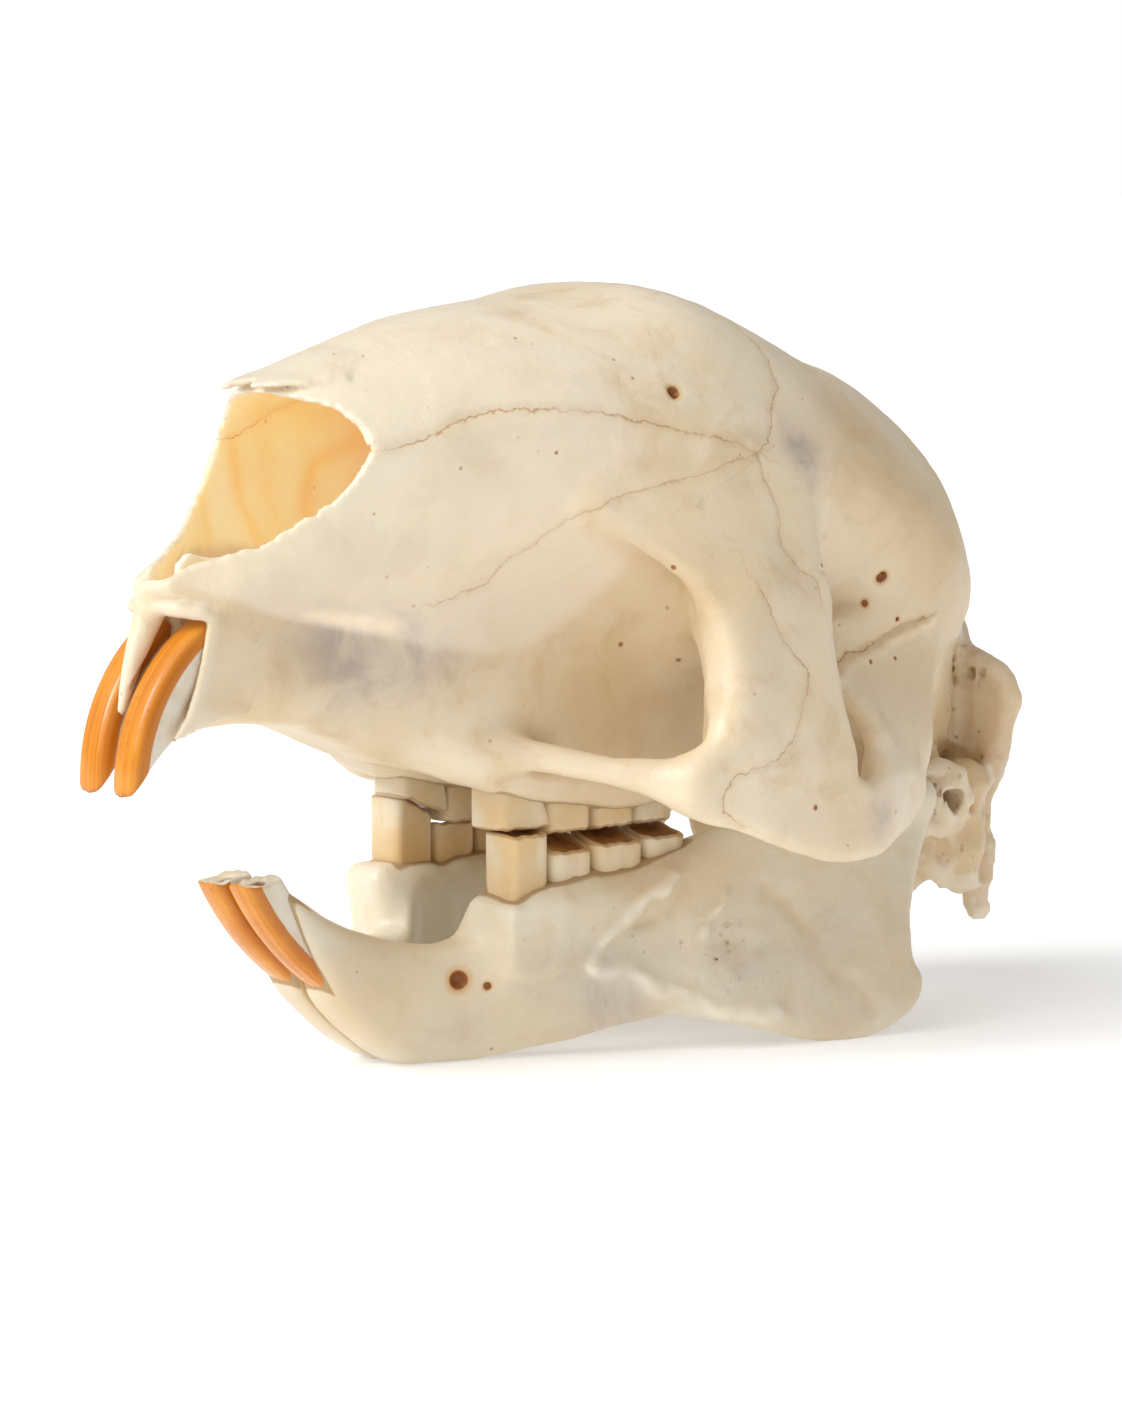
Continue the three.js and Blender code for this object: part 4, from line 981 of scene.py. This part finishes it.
teeth = []
for jaw_name, rows in (("upper", UPPER_TEETH), ("lower", LOWER_TEETH)):
    for row, tooth in enumerate(rows):
        for side, word in ((1, "left"), (-1, "right")):
            seed = 100 + 10 * row + (3 if side < 0 else 0) + (50 if jaw_name == "lower" else 0)
            made = cheek_tooth(f"{jaw_name}_{tooth[0]}_{word}_crown", tooth[0], tooth[1:], side, seed)
            teeth.append((made, f"{jaw_name}_{tooth[0]}_{word}"))
incisors = []
for jaw_name, numbers in (("upper", UPPER_INCISOR), ("lower", LOWER_INCISOR)):
    for side, word in ((1, "left"), (-1, "right")):
        made = incisor(f"{jaw_name}_incisor_{word}_crown", numbers, side, jaw_name == "lower")
        incisors.append((made, f"{jaw_name}_incisor_{word}"))


# What the materials read from the form
def tooth_distance(p, rows):
    """How far a point is from the nearest cheek tooth, across its sides."""
    best = np.full(p[0].shape, 9.0)
    for _, front, back, inner, outer, bite, root in rows:
        qx = np.abs(p[0] - (inner + outer) / 2) - (outer - inner) / 2
        qy = np.abs(p[1] - (front + back) / 2) - (back - front) / 2
        qz = np.abs(p[2] - (bite + root) / 2) - abs(bite - root) / 2
        far = np.sqrt(sum(np.maximum(q, 0) ** 2 for q in (qx, qy, qz)))
        best = np.minimum(best, far)
    return best


def incisor_distance(p, c):
    reach = np.hypot(p[1] - c["y"], p[2] - c["z"]) - (c["radius"] - c["deep"] / 2)
    turn = np.degrees(np.arctan2(p[2] - c["z"], p[1] - c["y"])) % 360
    t = np.clip((turn - c["root"]) / (c["tip"] - c["root"]), 0, 1)
    off = np.abs(turn - c["root"] - t * (c["tip"] - c["root"]))
    beyond = np.maximum(off * math.pi / 180 * c["radius"], 0)
    across = np.abs(p[0] - (c["root_x"] + (c["tip_x"] - c["root_x"]) * t)) - c["wide"] / 2
    deep = np.abs(reach) - c["deep"] / 2
    return np.sqrt(np.maximum(across, 0) ** 2 + np.maximum(deep, 0) ** 2 + beyond ** 2)


def patches(p, spots):
    total = 0
    for (cx, cy, cz), size, strength in spots:
        far = (p[0] - cx) ** 2 + (p[1] - cy) ** 2 + (p[2] - cz) ** 2
        total = total + strength * np.exp(-far / (size * size))
    return np.clip(total, 0, 1)


def hollows(made, shape, reach=3.0):
    """How closed in each point is: 0 on open bone, 1 deep in a hollow."""
    p, n = drawn(made), normals(made)
    q = p + n * reach
    d = shape(folded(q))
    return np.clip(1 - d / reach, 0, 1)


def edges(made, shape, reach=2.2):
    """How thin or sharp the bone is under each point: 0 in thick bone, 1 on a thin edge."""
    q = drawn(made) - normals(made) * reach
    d = shape(folded(q))
    return np.clip(1 + d / reach, 0, 1)


p = folded(drawn(cranium))
# hollow feeds the paint's painted shade in hollows
attribute(cranium, "hollow", hollows(cranium, cranium_shape))
# edge feeds the paint's painted highlight on thin edges
attribute(cranium, "edge", edges(cranium, cranium_shape))
for name, line in SEAMS.items():
    s = along(p[1], p[2], line)
    attribute(cranium, name, np.where((p[0] > SEAM_REACH[name][0]) & (p[0] < SEAM_REACH[name][1]), s, 9.0))
# inner: the nose's inner wall, where the paint puts its painted glow
inside = ramp(-skin(p, BODY, False), 0.6, 1.1) * (1 - ramp(blob(p, *NASAL_HOLLOW), 0, 2))
inside = inside * ramp(p[2] - (64.5 - 0.25 * (p[1] + 50)), -1.5, 0.5)
attribute(cranium, "inner", inside)
# Amber bands in the painted glow inside the nose: the line (y, z), the half width and the strength
AMBER = [
    ([(-34, 82), (-34, 79.7), (-34, 74.5), (-31, 70.3), (-29, 66)], 1.5, 1.0),
    ([(-1, 83), (-3.5, 82.5), (-9.5, 80.8), (-16, 79.3), (-18.5, 77), (-20.5, 74), (-21, 70)], 1.4, 1.0),
    ([(-40, 80), (-41, 75), (-42, 70)], 1.2, 0.6), ([(-26, 82), (-27, 76), (-24, 69)], 1.6, 0.4),
    ([(-30, 87), (-18, 87), (-6, 86)], 3.2, 0.7),
]
amber = 0
for line, width, strength in AMBER:
    s = along(p[1] + 0.9 * noise(p, 5, 91), p[2] + 0.9 * noise(p, 5, 92), line)
    amber = amber + strength * crest(s, width)
attribute(cranium, "amber", np.clip(amber, 0, 1) * inside)
# Grey patches, each a place, a size and a strength: partly the bone's own grey stains, partly painted shade,
# as along the lower side of the snout
GREY = [((11.5, -39, 60), 6, 0.9), ((11.5, -31, 58), 6, 1.0), ((13, -24, 56), 6, 0.7),
        ((29.5, 25.5, 82.5), 3.6, 0.9), ((29.5, 28, 79), 3, 0.7), ((38, 33.5, 33), 3, 0.9),
        ((10, -45, 64), 5, 0.35), ((19, 71, 52), 6, 0.6), ((26, 50, 44), 5, 0.4), ((25, 37, 88), 3.5, 0.4),
        ((9.6, -37, 52), 5, 0.4), ((17, 72, 36), 6, 0.4)]
attribute(cranium, "grey", patches(p, GREY))
PITTED = [((31, 29, 64), 4, 1.0), ((20, 68, 40), 12, 0.9), ((21, 62, 28), 9, 1.0), ((15, -9, 46), 3.5, 0.9),
          ((14, 2, 38), 9, 0.4), ((14, -33, 63), 5, 0.3), ((20, 10, 95), 9, 0.25)]
attribute(cranium, "pitted", patches(p, PITTED))
# Warmer patches, each a place, a size and a strength: partly the bone's own tone, partly painted shade, as on
# the upper back of the braincase and the side of the snout
WARM = [((17, -8, 58), 12, 0.35), ((16, 4, 50), 8, 0.5), ((22, 20, 50), 9, 0.7), ((23, 60, 40), 14, 0.6),
        ((12, -60, 62), 8, 0.3), ((27, 25, 66), 6, 0.4), ((14, 0, 38), 14, 0.4), ((20, 68, 30), 12, 0.7),
        ((27.5, 46, 77), 12, 1.0), ((26, 40, 84), 8, 0.6), ((38, 26, 36), 8, 0.5), ((11, -47, 62), 6, 0.5),
        ((12, -40, 64), 9, 0.6), ((14, -24, 60), 8, 0.35), ((25, 55, 66), 8, 0.5), ((27, 44, 54), 6, 0.4),
        ((8, 66, 78), 12, 0.4)]
attribute(cranium, "warm", patches(p, WARM))
down = -normals(cranium)[:, 2]
gum = tooth_distance(p, UPPER_TEETH) + 1.5 * (1 - ramp(down, 0.0, 0.4))
gum = np.minimum(gum, 3.2 * incisor_distance(p, UPPER_INCISOR))
attribute(cranium, "gum", gum)
# Grey and warmer patches of the jaws, each a place, a size and a strength: partly the bone's own tone, partly
# painted shade, as the grey low on the jaw's outer side
JAW_GREY = [((16, 3, 12), 5, 0.4), ((27, 33, 14), 6, 0.25), ((24, 20, 13), 6, 0.55),
            ((14, -6, 14), 5, 0.3), ((11, -18, 7), 5, 0.3), ((17, 5, 7), 5, 0.6)]
JAW_WARM = [((18, 10, 24), 9, 0.6), ((24, 20, 24), 8, 0.6), ((6, -32, 12), 8, 0.5),
            ((28, 46, 8), 9, 0.5), ((29, 34, 2), 6, 0.6)]
for made in jaws:
    p = folded(drawn(made))
    # hollow feeds the paint's painted shade in hollows
    attribute(made, "hollow", hollows(made, jaw_half))
    # edge feeds the paint's painted highlight on thin edges
    attribute(made, "edge", edges(made, jaw_shape))
    attribute(made, "pitted", np.clip(jaw_pitted(p), 0, 1))
    # relief feeds the paint's painted highlight on ridges and painted shade in furrows
    attribute(made, "relief", np.clip(jaw_relief(p), -1, 1))
    attribute(made, "grey", patches(p, JAW_GREY))
    attribute(made, "warm", patches(p, JAW_WARM))
    gum = tooth_distance(p, LOWER_TEETH) + 1.5 * (1 - ramp(normals(made)[:, 2], 0.0, 0.4))
    attribute(made, "gum", np.minimum(gum, 3.2 * incisor_distance(p, LOWER_INCISOR)))


# Materials
class Paint:
    """A node material, built from small calls that each return a socket."""

    def __init__(self, name):
        self.material = bpy.data.materials.new(name)
        self.material.use_nodes = True
        self.tree = self.material.node_tree
        self.shader = self.tree.nodes["Principled BSDF"]
        self.place = self.node("ShaderNodeTexCoord").outputs["Object"]

    def node(self, kind, **settings):
        made = self.tree.nodes.new(kind)
        for key, value in settings.items():
            setattr(made, key, value)
        return made

    def give(self, socket, value):
        if isinstance(value, bpy.types.NodeSocket):
            self.tree.links.new(value, socket)
        else:
            socket.default_value = value

    def math(self, operation, a, b=0.0):
        n = self.node("ShaderNodeMath", operation=operation)
        self.give(n.inputs[0], a)
        self.give(n.inputs[1], b)
        return n.outputs[0]

    def times(self, a, b):
        return self.math("MULTIPLY", a, b)

    def plus(self, a, b):
        return self.math("ADD", a, b)

    def minus(self, a, b):
        return self.math("SUBTRACT", a, b)

    def coat(self, **values):
        """Gives the shader's sockets, named with _ for a space, a socket or a plain value."""
        for key, value in values.items():
            self.give(self.shader.inputs[key.replace("_", " ")], value)

    def step(self, value, low, high, out_low=0.0, out_high=1.0):
        n = self.node("ShaderNodeMapRange", interpolation_type="SMOOTHSTEP")
        for key, v in (("Value", value), ("From Min", low), ("From Max", high), ("To Min", out_low),
                       ("To Max", out_high)):
            self.give(n.inputs[key], v)
        return n.outputs["Result"]

    def mix(self, share, a, b):
        n = self.node("ShaderNodeMix", data_type="RGBA")
        self.give(n.inputs[0], share)
        for socket, value in ((n.inputs[6], a), (n.inputs[7], b)):
            if not isinstance(value, bpy.types.NodeSocket):
                value = (*value, 1.0)
            self.give(socket, value)
        return n.outputs[2]

    def noise(self, scale, detail=3.0, rough=0.55, distortion=0.0, stretch=None):
        n = self.node("ShaderNodeTexNoise")
        where = self.place
        if stretch:
            m = self.node("ShaderNodeMapping")
            self.give(m.inputs["Vector"], where)
            m.inputs["Scale"].default_value = stretch
            where = m.outputs[0]
        self.give(n.inputs["Vector"], where)
        n.inputs["Scale"].default_value = scale
        n.inputs["Detail"].default_value = detail
        n.inputs["Roughness"].default_value = rough
        n.inputs["Distortion"].default_value = distortion
        return n.outputs["Fac"]

    def cells(self, scale):
        n = self.node("ShaderNodeTexVoronoi")
        self.give(n.inputs["Vector"], self.place)
        n.inputs["Scale"].default_value = scale
        return n.outputs["Distance"]

    def read(self, name):
        return self.node("ShaderNodeAttribute", attribute_name=name).outputs["Fac"]

    def dot(self, centre, low, high):
        """1 within low of a point of the drawn frame, 0 beyond high; millimetres."""
        n = self.node("ShaderNodeVectorMath", operation="DISTANCE")
        self.give(n.inputs[0], self.place)
        n.inputs[1].default_value = Vector((np.array(centre) + DATUM) * MM)
        return self.step(n.outputs["Value"], low * MM, high * MM, 1.0, 0.0)

    def bump(self, height, strength, distance):
        n = self.node("ShaderNodeBump")
        n.inputs["Strength"].default_value = strength
        n.inputs["Distance"].default_value = distance
        self.give(n.inputs["Height"], height)
        return n.outputs["Normal"]


# Brown dots in the surface: place and radius
SMALL_DOTS = [
    ((23.9, -12.2, 82.5), 0.3), ((15.4, -35.7, 75.2), 0.3), ((15.8, -34.6, 75), 0.25),
    ((13.2, -27.2, 62.8), 0.35),
    ((28.9, 3.6, 67.1), 0.4), ((19.6, 13.3, 53.9), 0.4), ((17.1, 5.2, 56.2), 0.35), ((38.6, 20.2, 35.2), 0.4),
    ((27, 42.1, 52.2), 0.35), ((26.6, 47.2, 52.3), 0.3), ((31.5, 28.3, 66.3), 0.3), ((19, 72, 46), 0.5),
    ((-20.3, -16.6, 83), 0.35), ((24, 18, 92), 0.3), ((28, 34, 74), 0.25),
]


# How far red, green and blue light spreads in bone and tooth, as shares of the scale
BONE_SCATTER = (1.0, 0.6, 0.3)
SEAM_SHADES = {"seam_temple": 0.95, "seam_nasal": 0.7, "seam_crown": 0.6, "seam_cheek": 0.55}


def bone_paint(name, pale, tan, seams):
    """Bone; the one with seams is the cranium, with a painted glow inside its nose for light through thin
    bone.
    """
    m = Paint(name)
    large = m.noise(17, 3, 0.5)
    broad = m.noise(42, 4, 0.6)
    mid = m.noise(120, 4, 0.62, 0.6)
    fine = m.noise(700, 2, 0.6)
    streak = m.noise(60, 4, 0.65, 1.2, (1.0, 0.45, 1.0))
    colour = m.mix(m.step(broad, 0.35, 0.68), pale, tan)
    stain_and_shade = 1.0 if seams else 0.5
    colour = m.mix(m.step(large, 0.42, 0.68, 0.0, 0.4 * stain_and_shade), colour, (0.72, 0.54, 0.32))
    colour = m.mix(m.step(mid, 0.48, 0.75, 0.0, 0.5 * stain_and_shade), colour, (0.62, 0.43, 0.22))
    colour = m.mix(m.step(streak, 0.52, 0.78, 0.0, 0.45), colour, (0.86, 0.79, 0.66))
    # warmer patches: partly the bone's own tone, partly painted shade
    colour = m.mix(m.times(m.read("warm"), 0.6), colour, (0.66, 0.44, 0.20))
    # grey patches: partly the bone's own stains, partly painted shade
    grey = m.times(m.read("grey"), m.step(mid, 0.3, 0.65, 0.3, 0.85))
    colour = m.mix(grey, colour, (0.44, 0.35, 0.30))
    # painted shade: the bone is painted darker and warmer deep in hollows, where shade falls; not inside the
    # nose, which has its painted glow
    hollow = m.step(m.read("hollow"), 0.15, 0.85, 0.0, 0.75)
    inner = m.read("inner") if seams else None
    if seams:
        hollow = m.times(hollow, m.minus(1.0, inner))
    colour = m.mix(hollow, colour, (0.60, 0.40, 0.18))
    # painted highlight: thin and sharp edges of the bone are painted paler
    colour = m.mix(m.step(m.read("edge"), 0.45, 1.0, 0.0, 0.5), colour, (0.90, 0.81, 0.66))
    # painted light: the inner wall of the nose is painted paler and amber, standing in for light that comes
    # through the thin bone
    if seams:
        glow = m.mix(m.step(m.noise(90, 3, 0.6, 1.0, (1, 1, 0.35)), 0.35, 0.7), (0.95, 0.86, 0.70),
                     (0.92, 0.79, 0.57))
        glow = m.mix(m.times(m.read("amber"), 0.65), glow, (0.88, 0.65, 0.30))
        colour = m.mix(m.times(inner, 0.95), colour, glow)
    # brown specks and pores
    speck = m.step(m.cells(330), 0.05, 0.11, 1.0, 0.0)
    thinly = m.step(m.noise(150, 2, 0.5), 0.56, 0.66)
    colour = m.mix(m.times(m.times(speck, thinly), 0.6), colour, (0.38, 0.18, 0.05))
    # pits with brown floors, where the bone is rough
    uneven = m.plus(m.cells(560), m.times(m.minus(m.noise(260, 2, 0.5), 0.42), 0.9))
    pit = m.step(uneven, 0.10, 0.26, 1.0, 0.0)
    pit = m.times(pit, m.step(m.read("pitted"), 0.2, 0.8))
    colour = m.mix(m.times(pit, m.step(mid, 0.4, 0.6, 0.25, 0.8)), colour, (0.42, 0.23, 0.07))
    # painted highlight on the jaw's ridges and painted shade in its furrows
    if not seams:
        relief = m.read("relief")
        colour = m.mix(m.step(relief, 0.2, 0.9, 0.0, 0.55), colour, (0.90, 0.83, 0.70))
        colour = m.mix(m.step(relief, -0.05, -0.4, 0.0, 0.4), colour, (0.66, 0.47, 0.24))
    # the stained line where bone meets tooth
    gum = m.plus(m.read("gum"), m.times(m.minus(mid, 0.5), 0.8))
    colour = m.mix(m.step(gum, 0.2, 0.8, 0.8, 0.0), colour, (0.40, 0.22, 0.08))
    height = m.plus(fine, m.times(mid, 2.0))
    height = m.plus(height, m.times(streak, 1.5))
    height = m.minus(height, m.times(speck, m.times(thinly, 2.0)))
    height = m.minus(height, m.times(pit, 2.5))
    wander = m.times(m.minus(m.noise(520, 4, 0.7), 0.5), 2.0)
    broken = m.step(m.noise(140, 3, 0.6), 0.36, 0.56, 0.15, 1.0)
    for seam in seams:
        line = m.math("ABSOLUTE", m.plus(m.read(seam), wander))
        seen = m.step(line, 0.02, 0.16, 1.0, 0.0)
        strength = SEAM_SHADES.get(seam, 0.4)
        shade = m.times(m.times(seen, broken), strength)
        colour = m.mix(shade, colour, (0.48, 0.22, 0.05))
        beside = m.step(line, 0.2, 1.4, 0.22 * strength, 0.0)
        colour = m.mix(beside, colour, (0.62, 0.38, 0.14))
        height = m.minus(height, m.times(seen, 1.2))
    holes = HOLES if seams else JAW_HOLES
    # a warmer ring round each hole, and painted shade: the hole's wall is painted nearly black
    for centre, radius in holes:
        colour = m.mix(m.dot(centre, radius * 0.9, radius * 2.2), colour, (0.66, 0.42, 0.18))
        colour = m.mix(m.dot(centre, radius * 1.02, radius * 1.25), colour, (0.30, 0.09, 0.012))
    if seams:
        for centre, radius in SMALL_DOTS:
            colour = m.mix(m.dot(centre, radius * 0.6, radius * 1.4), colour, (0.34, 0.13, 0.03))
    m.coat(Base_Color=colour, Roughness=m.step(broad, 0.3, 0.7, 0.30, 0.46),
           Normal=m.bump(height, 0.45, 0.00018), Subsurface_Weight=0.2,
           Subsurface_Radius=BONE_SCATTER, Subsurface_Scale=0.004, Specular_IOR_Level=0.5)
    # painted light: the nose's inner wall glows as if lit through the thin bone, though it is no lamp
    if seams:
        glow = m.mix(m.read("amber"), (1.0, 0.73, 0.46), (1.0, 0.62, 0.26))
        m.coat(Subsurface_Weight=m.step(inner, 0.0, 1.0, 0.2, 0.7), Emission_Color=glow,
               Emission_Strength=m.step(inner, 0.0, 1.0, 0.0, 0.12))
        m.material.cycles.emission_sampling = "NONE"
    return m.material


def cheek_tooth_paint():
    m = Paint("cheek_tooth_enamel")
    broad = m.noise(150, 3, 0.5)
    streak = m.noise(330, 3, 0.6, 0.3, (1, 1, 0.15))
    colour = m.mix(m.step(broad, 0.35, 0.7), (0.80, 0.70, 0.52), (0.76, 0.60, 0.36))
    colour = m.mix(m.step(streak, 0.5, 0.8, 0.0, 0.4), colour, (0.66, 0.47, 0.24))
    amber = m.step(m.noise(75, 3, 0.55), 0.44, 0.66, 0.0, 0.7)
    colour = m.mix(amber, colour, (0.78, 0.53, 0.24))
    bite = m.read("bite")
    colour = m.mix(m.step(bite, 1.5, 7.0, 0.0, 0.65), colour, (0.70, 0.46, 0.19))
    # a brown band along the biting edge: partly the tooth's own stain, partly painted shade for the dark gap
    # between upper and lower teeth
    stain_and_shade = m.plus(bite, m.minus(streak, 0.5))
    colour = m.mix(m.step(stain_and_shade, 0.0, 0.5, 0.6, 0.0), colour, (0.40, 0.21, 0.07))
    dark = m.mix(m.step(m.noise(300, 3, 0.6), 0.4, 0.65), (0.50, 0.22, 0.05), (0.26, 0.10, 0.025))
    colour = m.mix(m.times(m.read("dentine"), 0.92), colour, dark)
    m.coat(Base_Color=colour, Roughness=m.step(streak, 0.3, 0.7, 0.28, 0.42),
           Normal=m.bump(streak, 0.2, 0.00008), Subsurface_Weight=0.2,
           Subsurface_Radius=BONE_SCATTER, Subsurface_Scale=0.0015)
    return m.material


def incisor_paint():
    m = Paint("incisor_enamel")
    broad = m.noise(140, 3, 0.5)
    across = m.read("across")
    # fine grooves along the tooth, from the place across it
    grain = m.node("ShaderNodeTexNoise", noise_dimensions="1D")
    m.give(grain.inputs["W"], across)
    grain.inputs["Scale"].default_value = 2.6
    grain.inputs["Detail"].default_value = 4.0
    grain = grain.outputs["Fac"]
    orange = m.mix(m.step(grain, 0.38, 0.62, 0.0, 0.7), (0.74, 0.27, 0.02), (0.56, 0.16, 0.008))
    orange = m.mix(m.step(broad, 0.4, 0.7, 0.0, 0.6), orange, (0.80, 0.36, 0.04))
    # painted shade: the orange is painted darker towards both sides of the tooth, where its face turns away
    painted_side_shade = m.step(m.math("ABSOLUTE", across), 1.7, 2.7, 0.0, 0.6)
    orange = m.mix(painted_side_shade, orange, (0.50, 0.14, 0.006))
    mottle = m.noise(420, 4, 0.7)
    orange = m.mix(m.step(mottle, 0.56, 0.72, 0.0, 0.35), orange, (0.46, 0.12, 0.01))
    dentine = m.mix(m.step(m.noise(220, 4, 0.6), 0.35, 0.7), (0.82, 0.76, 0.64), (0.74, 0.60, 0.40))
    edge = m.plus(m.read("enamel"), m.times(m.minus(mottle, 0.5), 0.05))
    front = m.step(edge, 0.15, 0.19)
    colour = m.mix(front, dentine, orange)
    pulp = m.step(m.read("pulp"), 0.58, 0.72, 0.0, 0.9)
    colour = m.mix(pulp, colour, (0.30, 0.13, 0.04))
    height = m.plus(m.times(grain, 0.7), m.times(mottle, 0.6))
    m.coat(Base_Color=colour, Roughness=m.step(front, 0.0, 1.0, 0.45, 0.2),
           Normal=m.bump(height, 0.35, 0.00014), Subsurface_Weight=0.08,
           Subsurface_Radius=(1.0, 0.5, 0.2), Subsurface_Scale=0.001)
    return m.material


cranium_paint = bone_paint("cranium_bone_paint", (0.88, 0.76, 0.57), (0.79, 0.635, 0.42), list(SEAMS))
jaw_paint = bone_paint("jaw_bone_paint", (0.78, 0.73, 0.60), (0.76, 0.66, 0.48), [])
tooth_paint = cheek_tooth_paint()
orange_paint = incisor_paint()


def dress(made, paint, node):
    made.data.materials.clear()
    made.data.materials.append(paint)
    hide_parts(node)
    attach(made, "root")


dress(cranium, cranium_paint, "cranium")
dress(jaws[0], jaw_paint, "mandible_left")
dress(jaws[1], jaw_paint, "mandible_right")
for made, node in teeth:
    dress(made, tooth_paint, node)
for made, node in incisors:
    dress(made, orange_paint, node)


# Floor, light and camera
def floor():
    mesh = bpy.data.meshes.new("floor")
    mesh.from_pydata([(-6, -6, 0), (6, -6, 0), (6, 6, 0), (-6, 6, 0)], [], [(0, 1, 2, 3)])
    made = bpy.data.objects.new("floor", mesh)
    bpy.context.scene.collection.objects.link(made)
    paint = bpy.data.materials.new("floor_white")
    paint.use_nodes = True
    shader = paint.node_tree.nodes["Principled BSDF"]
    for key, value in (("Base Color", (0.84, 0.84, 0.84, 1)), ("Roughness", 0.9),
                       ("Emission Color", (0.97, 0.985, 1, 1)), ("Emission Strength", 0.33)):
        shader.inputs[key].default_value = value
    paint.cycles.emission_sampling = "NONE"
    mesh.materials.append(paint)


floor()
TARGET = Vector((np.array([0, 10, 47]) + DATUM) * MM)
AZIMUTH, ELEVATION = math.radians(48), math.radians(6)
PHOTO_HEIGHT_PX, FOCAL_PX = 1402, 5550
SENSOR_MM, CAMERA_DISTANCE = 36, 0.75
BACK = Vector((math.sin(AZIMUTH) * math.cos(ELEVATION), -math.cos(AZIMUTH) * math.cos(ELEVATION),
               math.sin(ELEVATION)))
RIGHT = Vector((math.cos(AZIMUTH), math.sin(AZIMUTH), 0))
UP = BACK.cross(RIGHT)


def sun(name, right, up, back, share, spread, colour):
    """A soft far light; share is how bright it makes a white surface that faces it."""
    data = bpy.data.lights.new(name, "SUN")
    data.energy = share * math.pi
    data.angle = math.radians(spread)
    data.color = colour
    made = bpy.data.objects.new(name, data)
    made.rotation_euler = (RIGHT * right + UP * up + BACK * back).to_track_quat("Z", "Y").to_euler()
    bpy.context.scene.collection.objects.link(made)


sun("key", -0.62, 0.62, 0.52, 0.50, 60, (1.0, 0.985, 0.96))
sun("softbox", -0.72, 0.58, 0.38, 0.36, 24, (1.0, 0.985, 0.96))

world = bpy.data.worlds.new("studio")
bpy.context.scene.world = world
world.use_nodes = True
sky = world.node_tree.nodes["Background"]
sky.inputs["Color"].default_value = (1, 1, 1, 1)
seen_by = world.node_tree.nodes.new("ShaderNodeLightPath")
strength = world.node_tree.nodes.new("ShaderNodeMapRange")
strength.inputs["To Min"].default_value = 0.44
strength.inputs["To Max"].default_value = 1.0
world.node_tree.links.new(seen_by.outputs["Is Camera Ray"], strength.inputs["Value"])
world.node_tree.links.new(strength.outputs["Result"], sky.inputs["Strength"])
view = bpy.context.scene.view_settings
view.view_transform = "Standard"
view.look = "None"

camera = bpy.data.cameras.new("camera")
camera.sensor_fit = "AUTO"
camera.sensor_width = SENSOR_MM
camera.lens = FOCAL_PX * SENSOR_MM / PHOTO_HEIGHT_PX
camera.clip_start = 0.05
camera.clip_end = 30
eye = bpy.data.objects.new("camera", camera)
turned = Matrix((RIGHT, UP, BACK)).transposed().to_4x4()
turned.translation = TARGET + BACK * CAMERA_DISTANCE
eye.matrix_world = turned
bpy.context.scene.collection.objects.link(eye)
bpy.context.scene.camera = eye
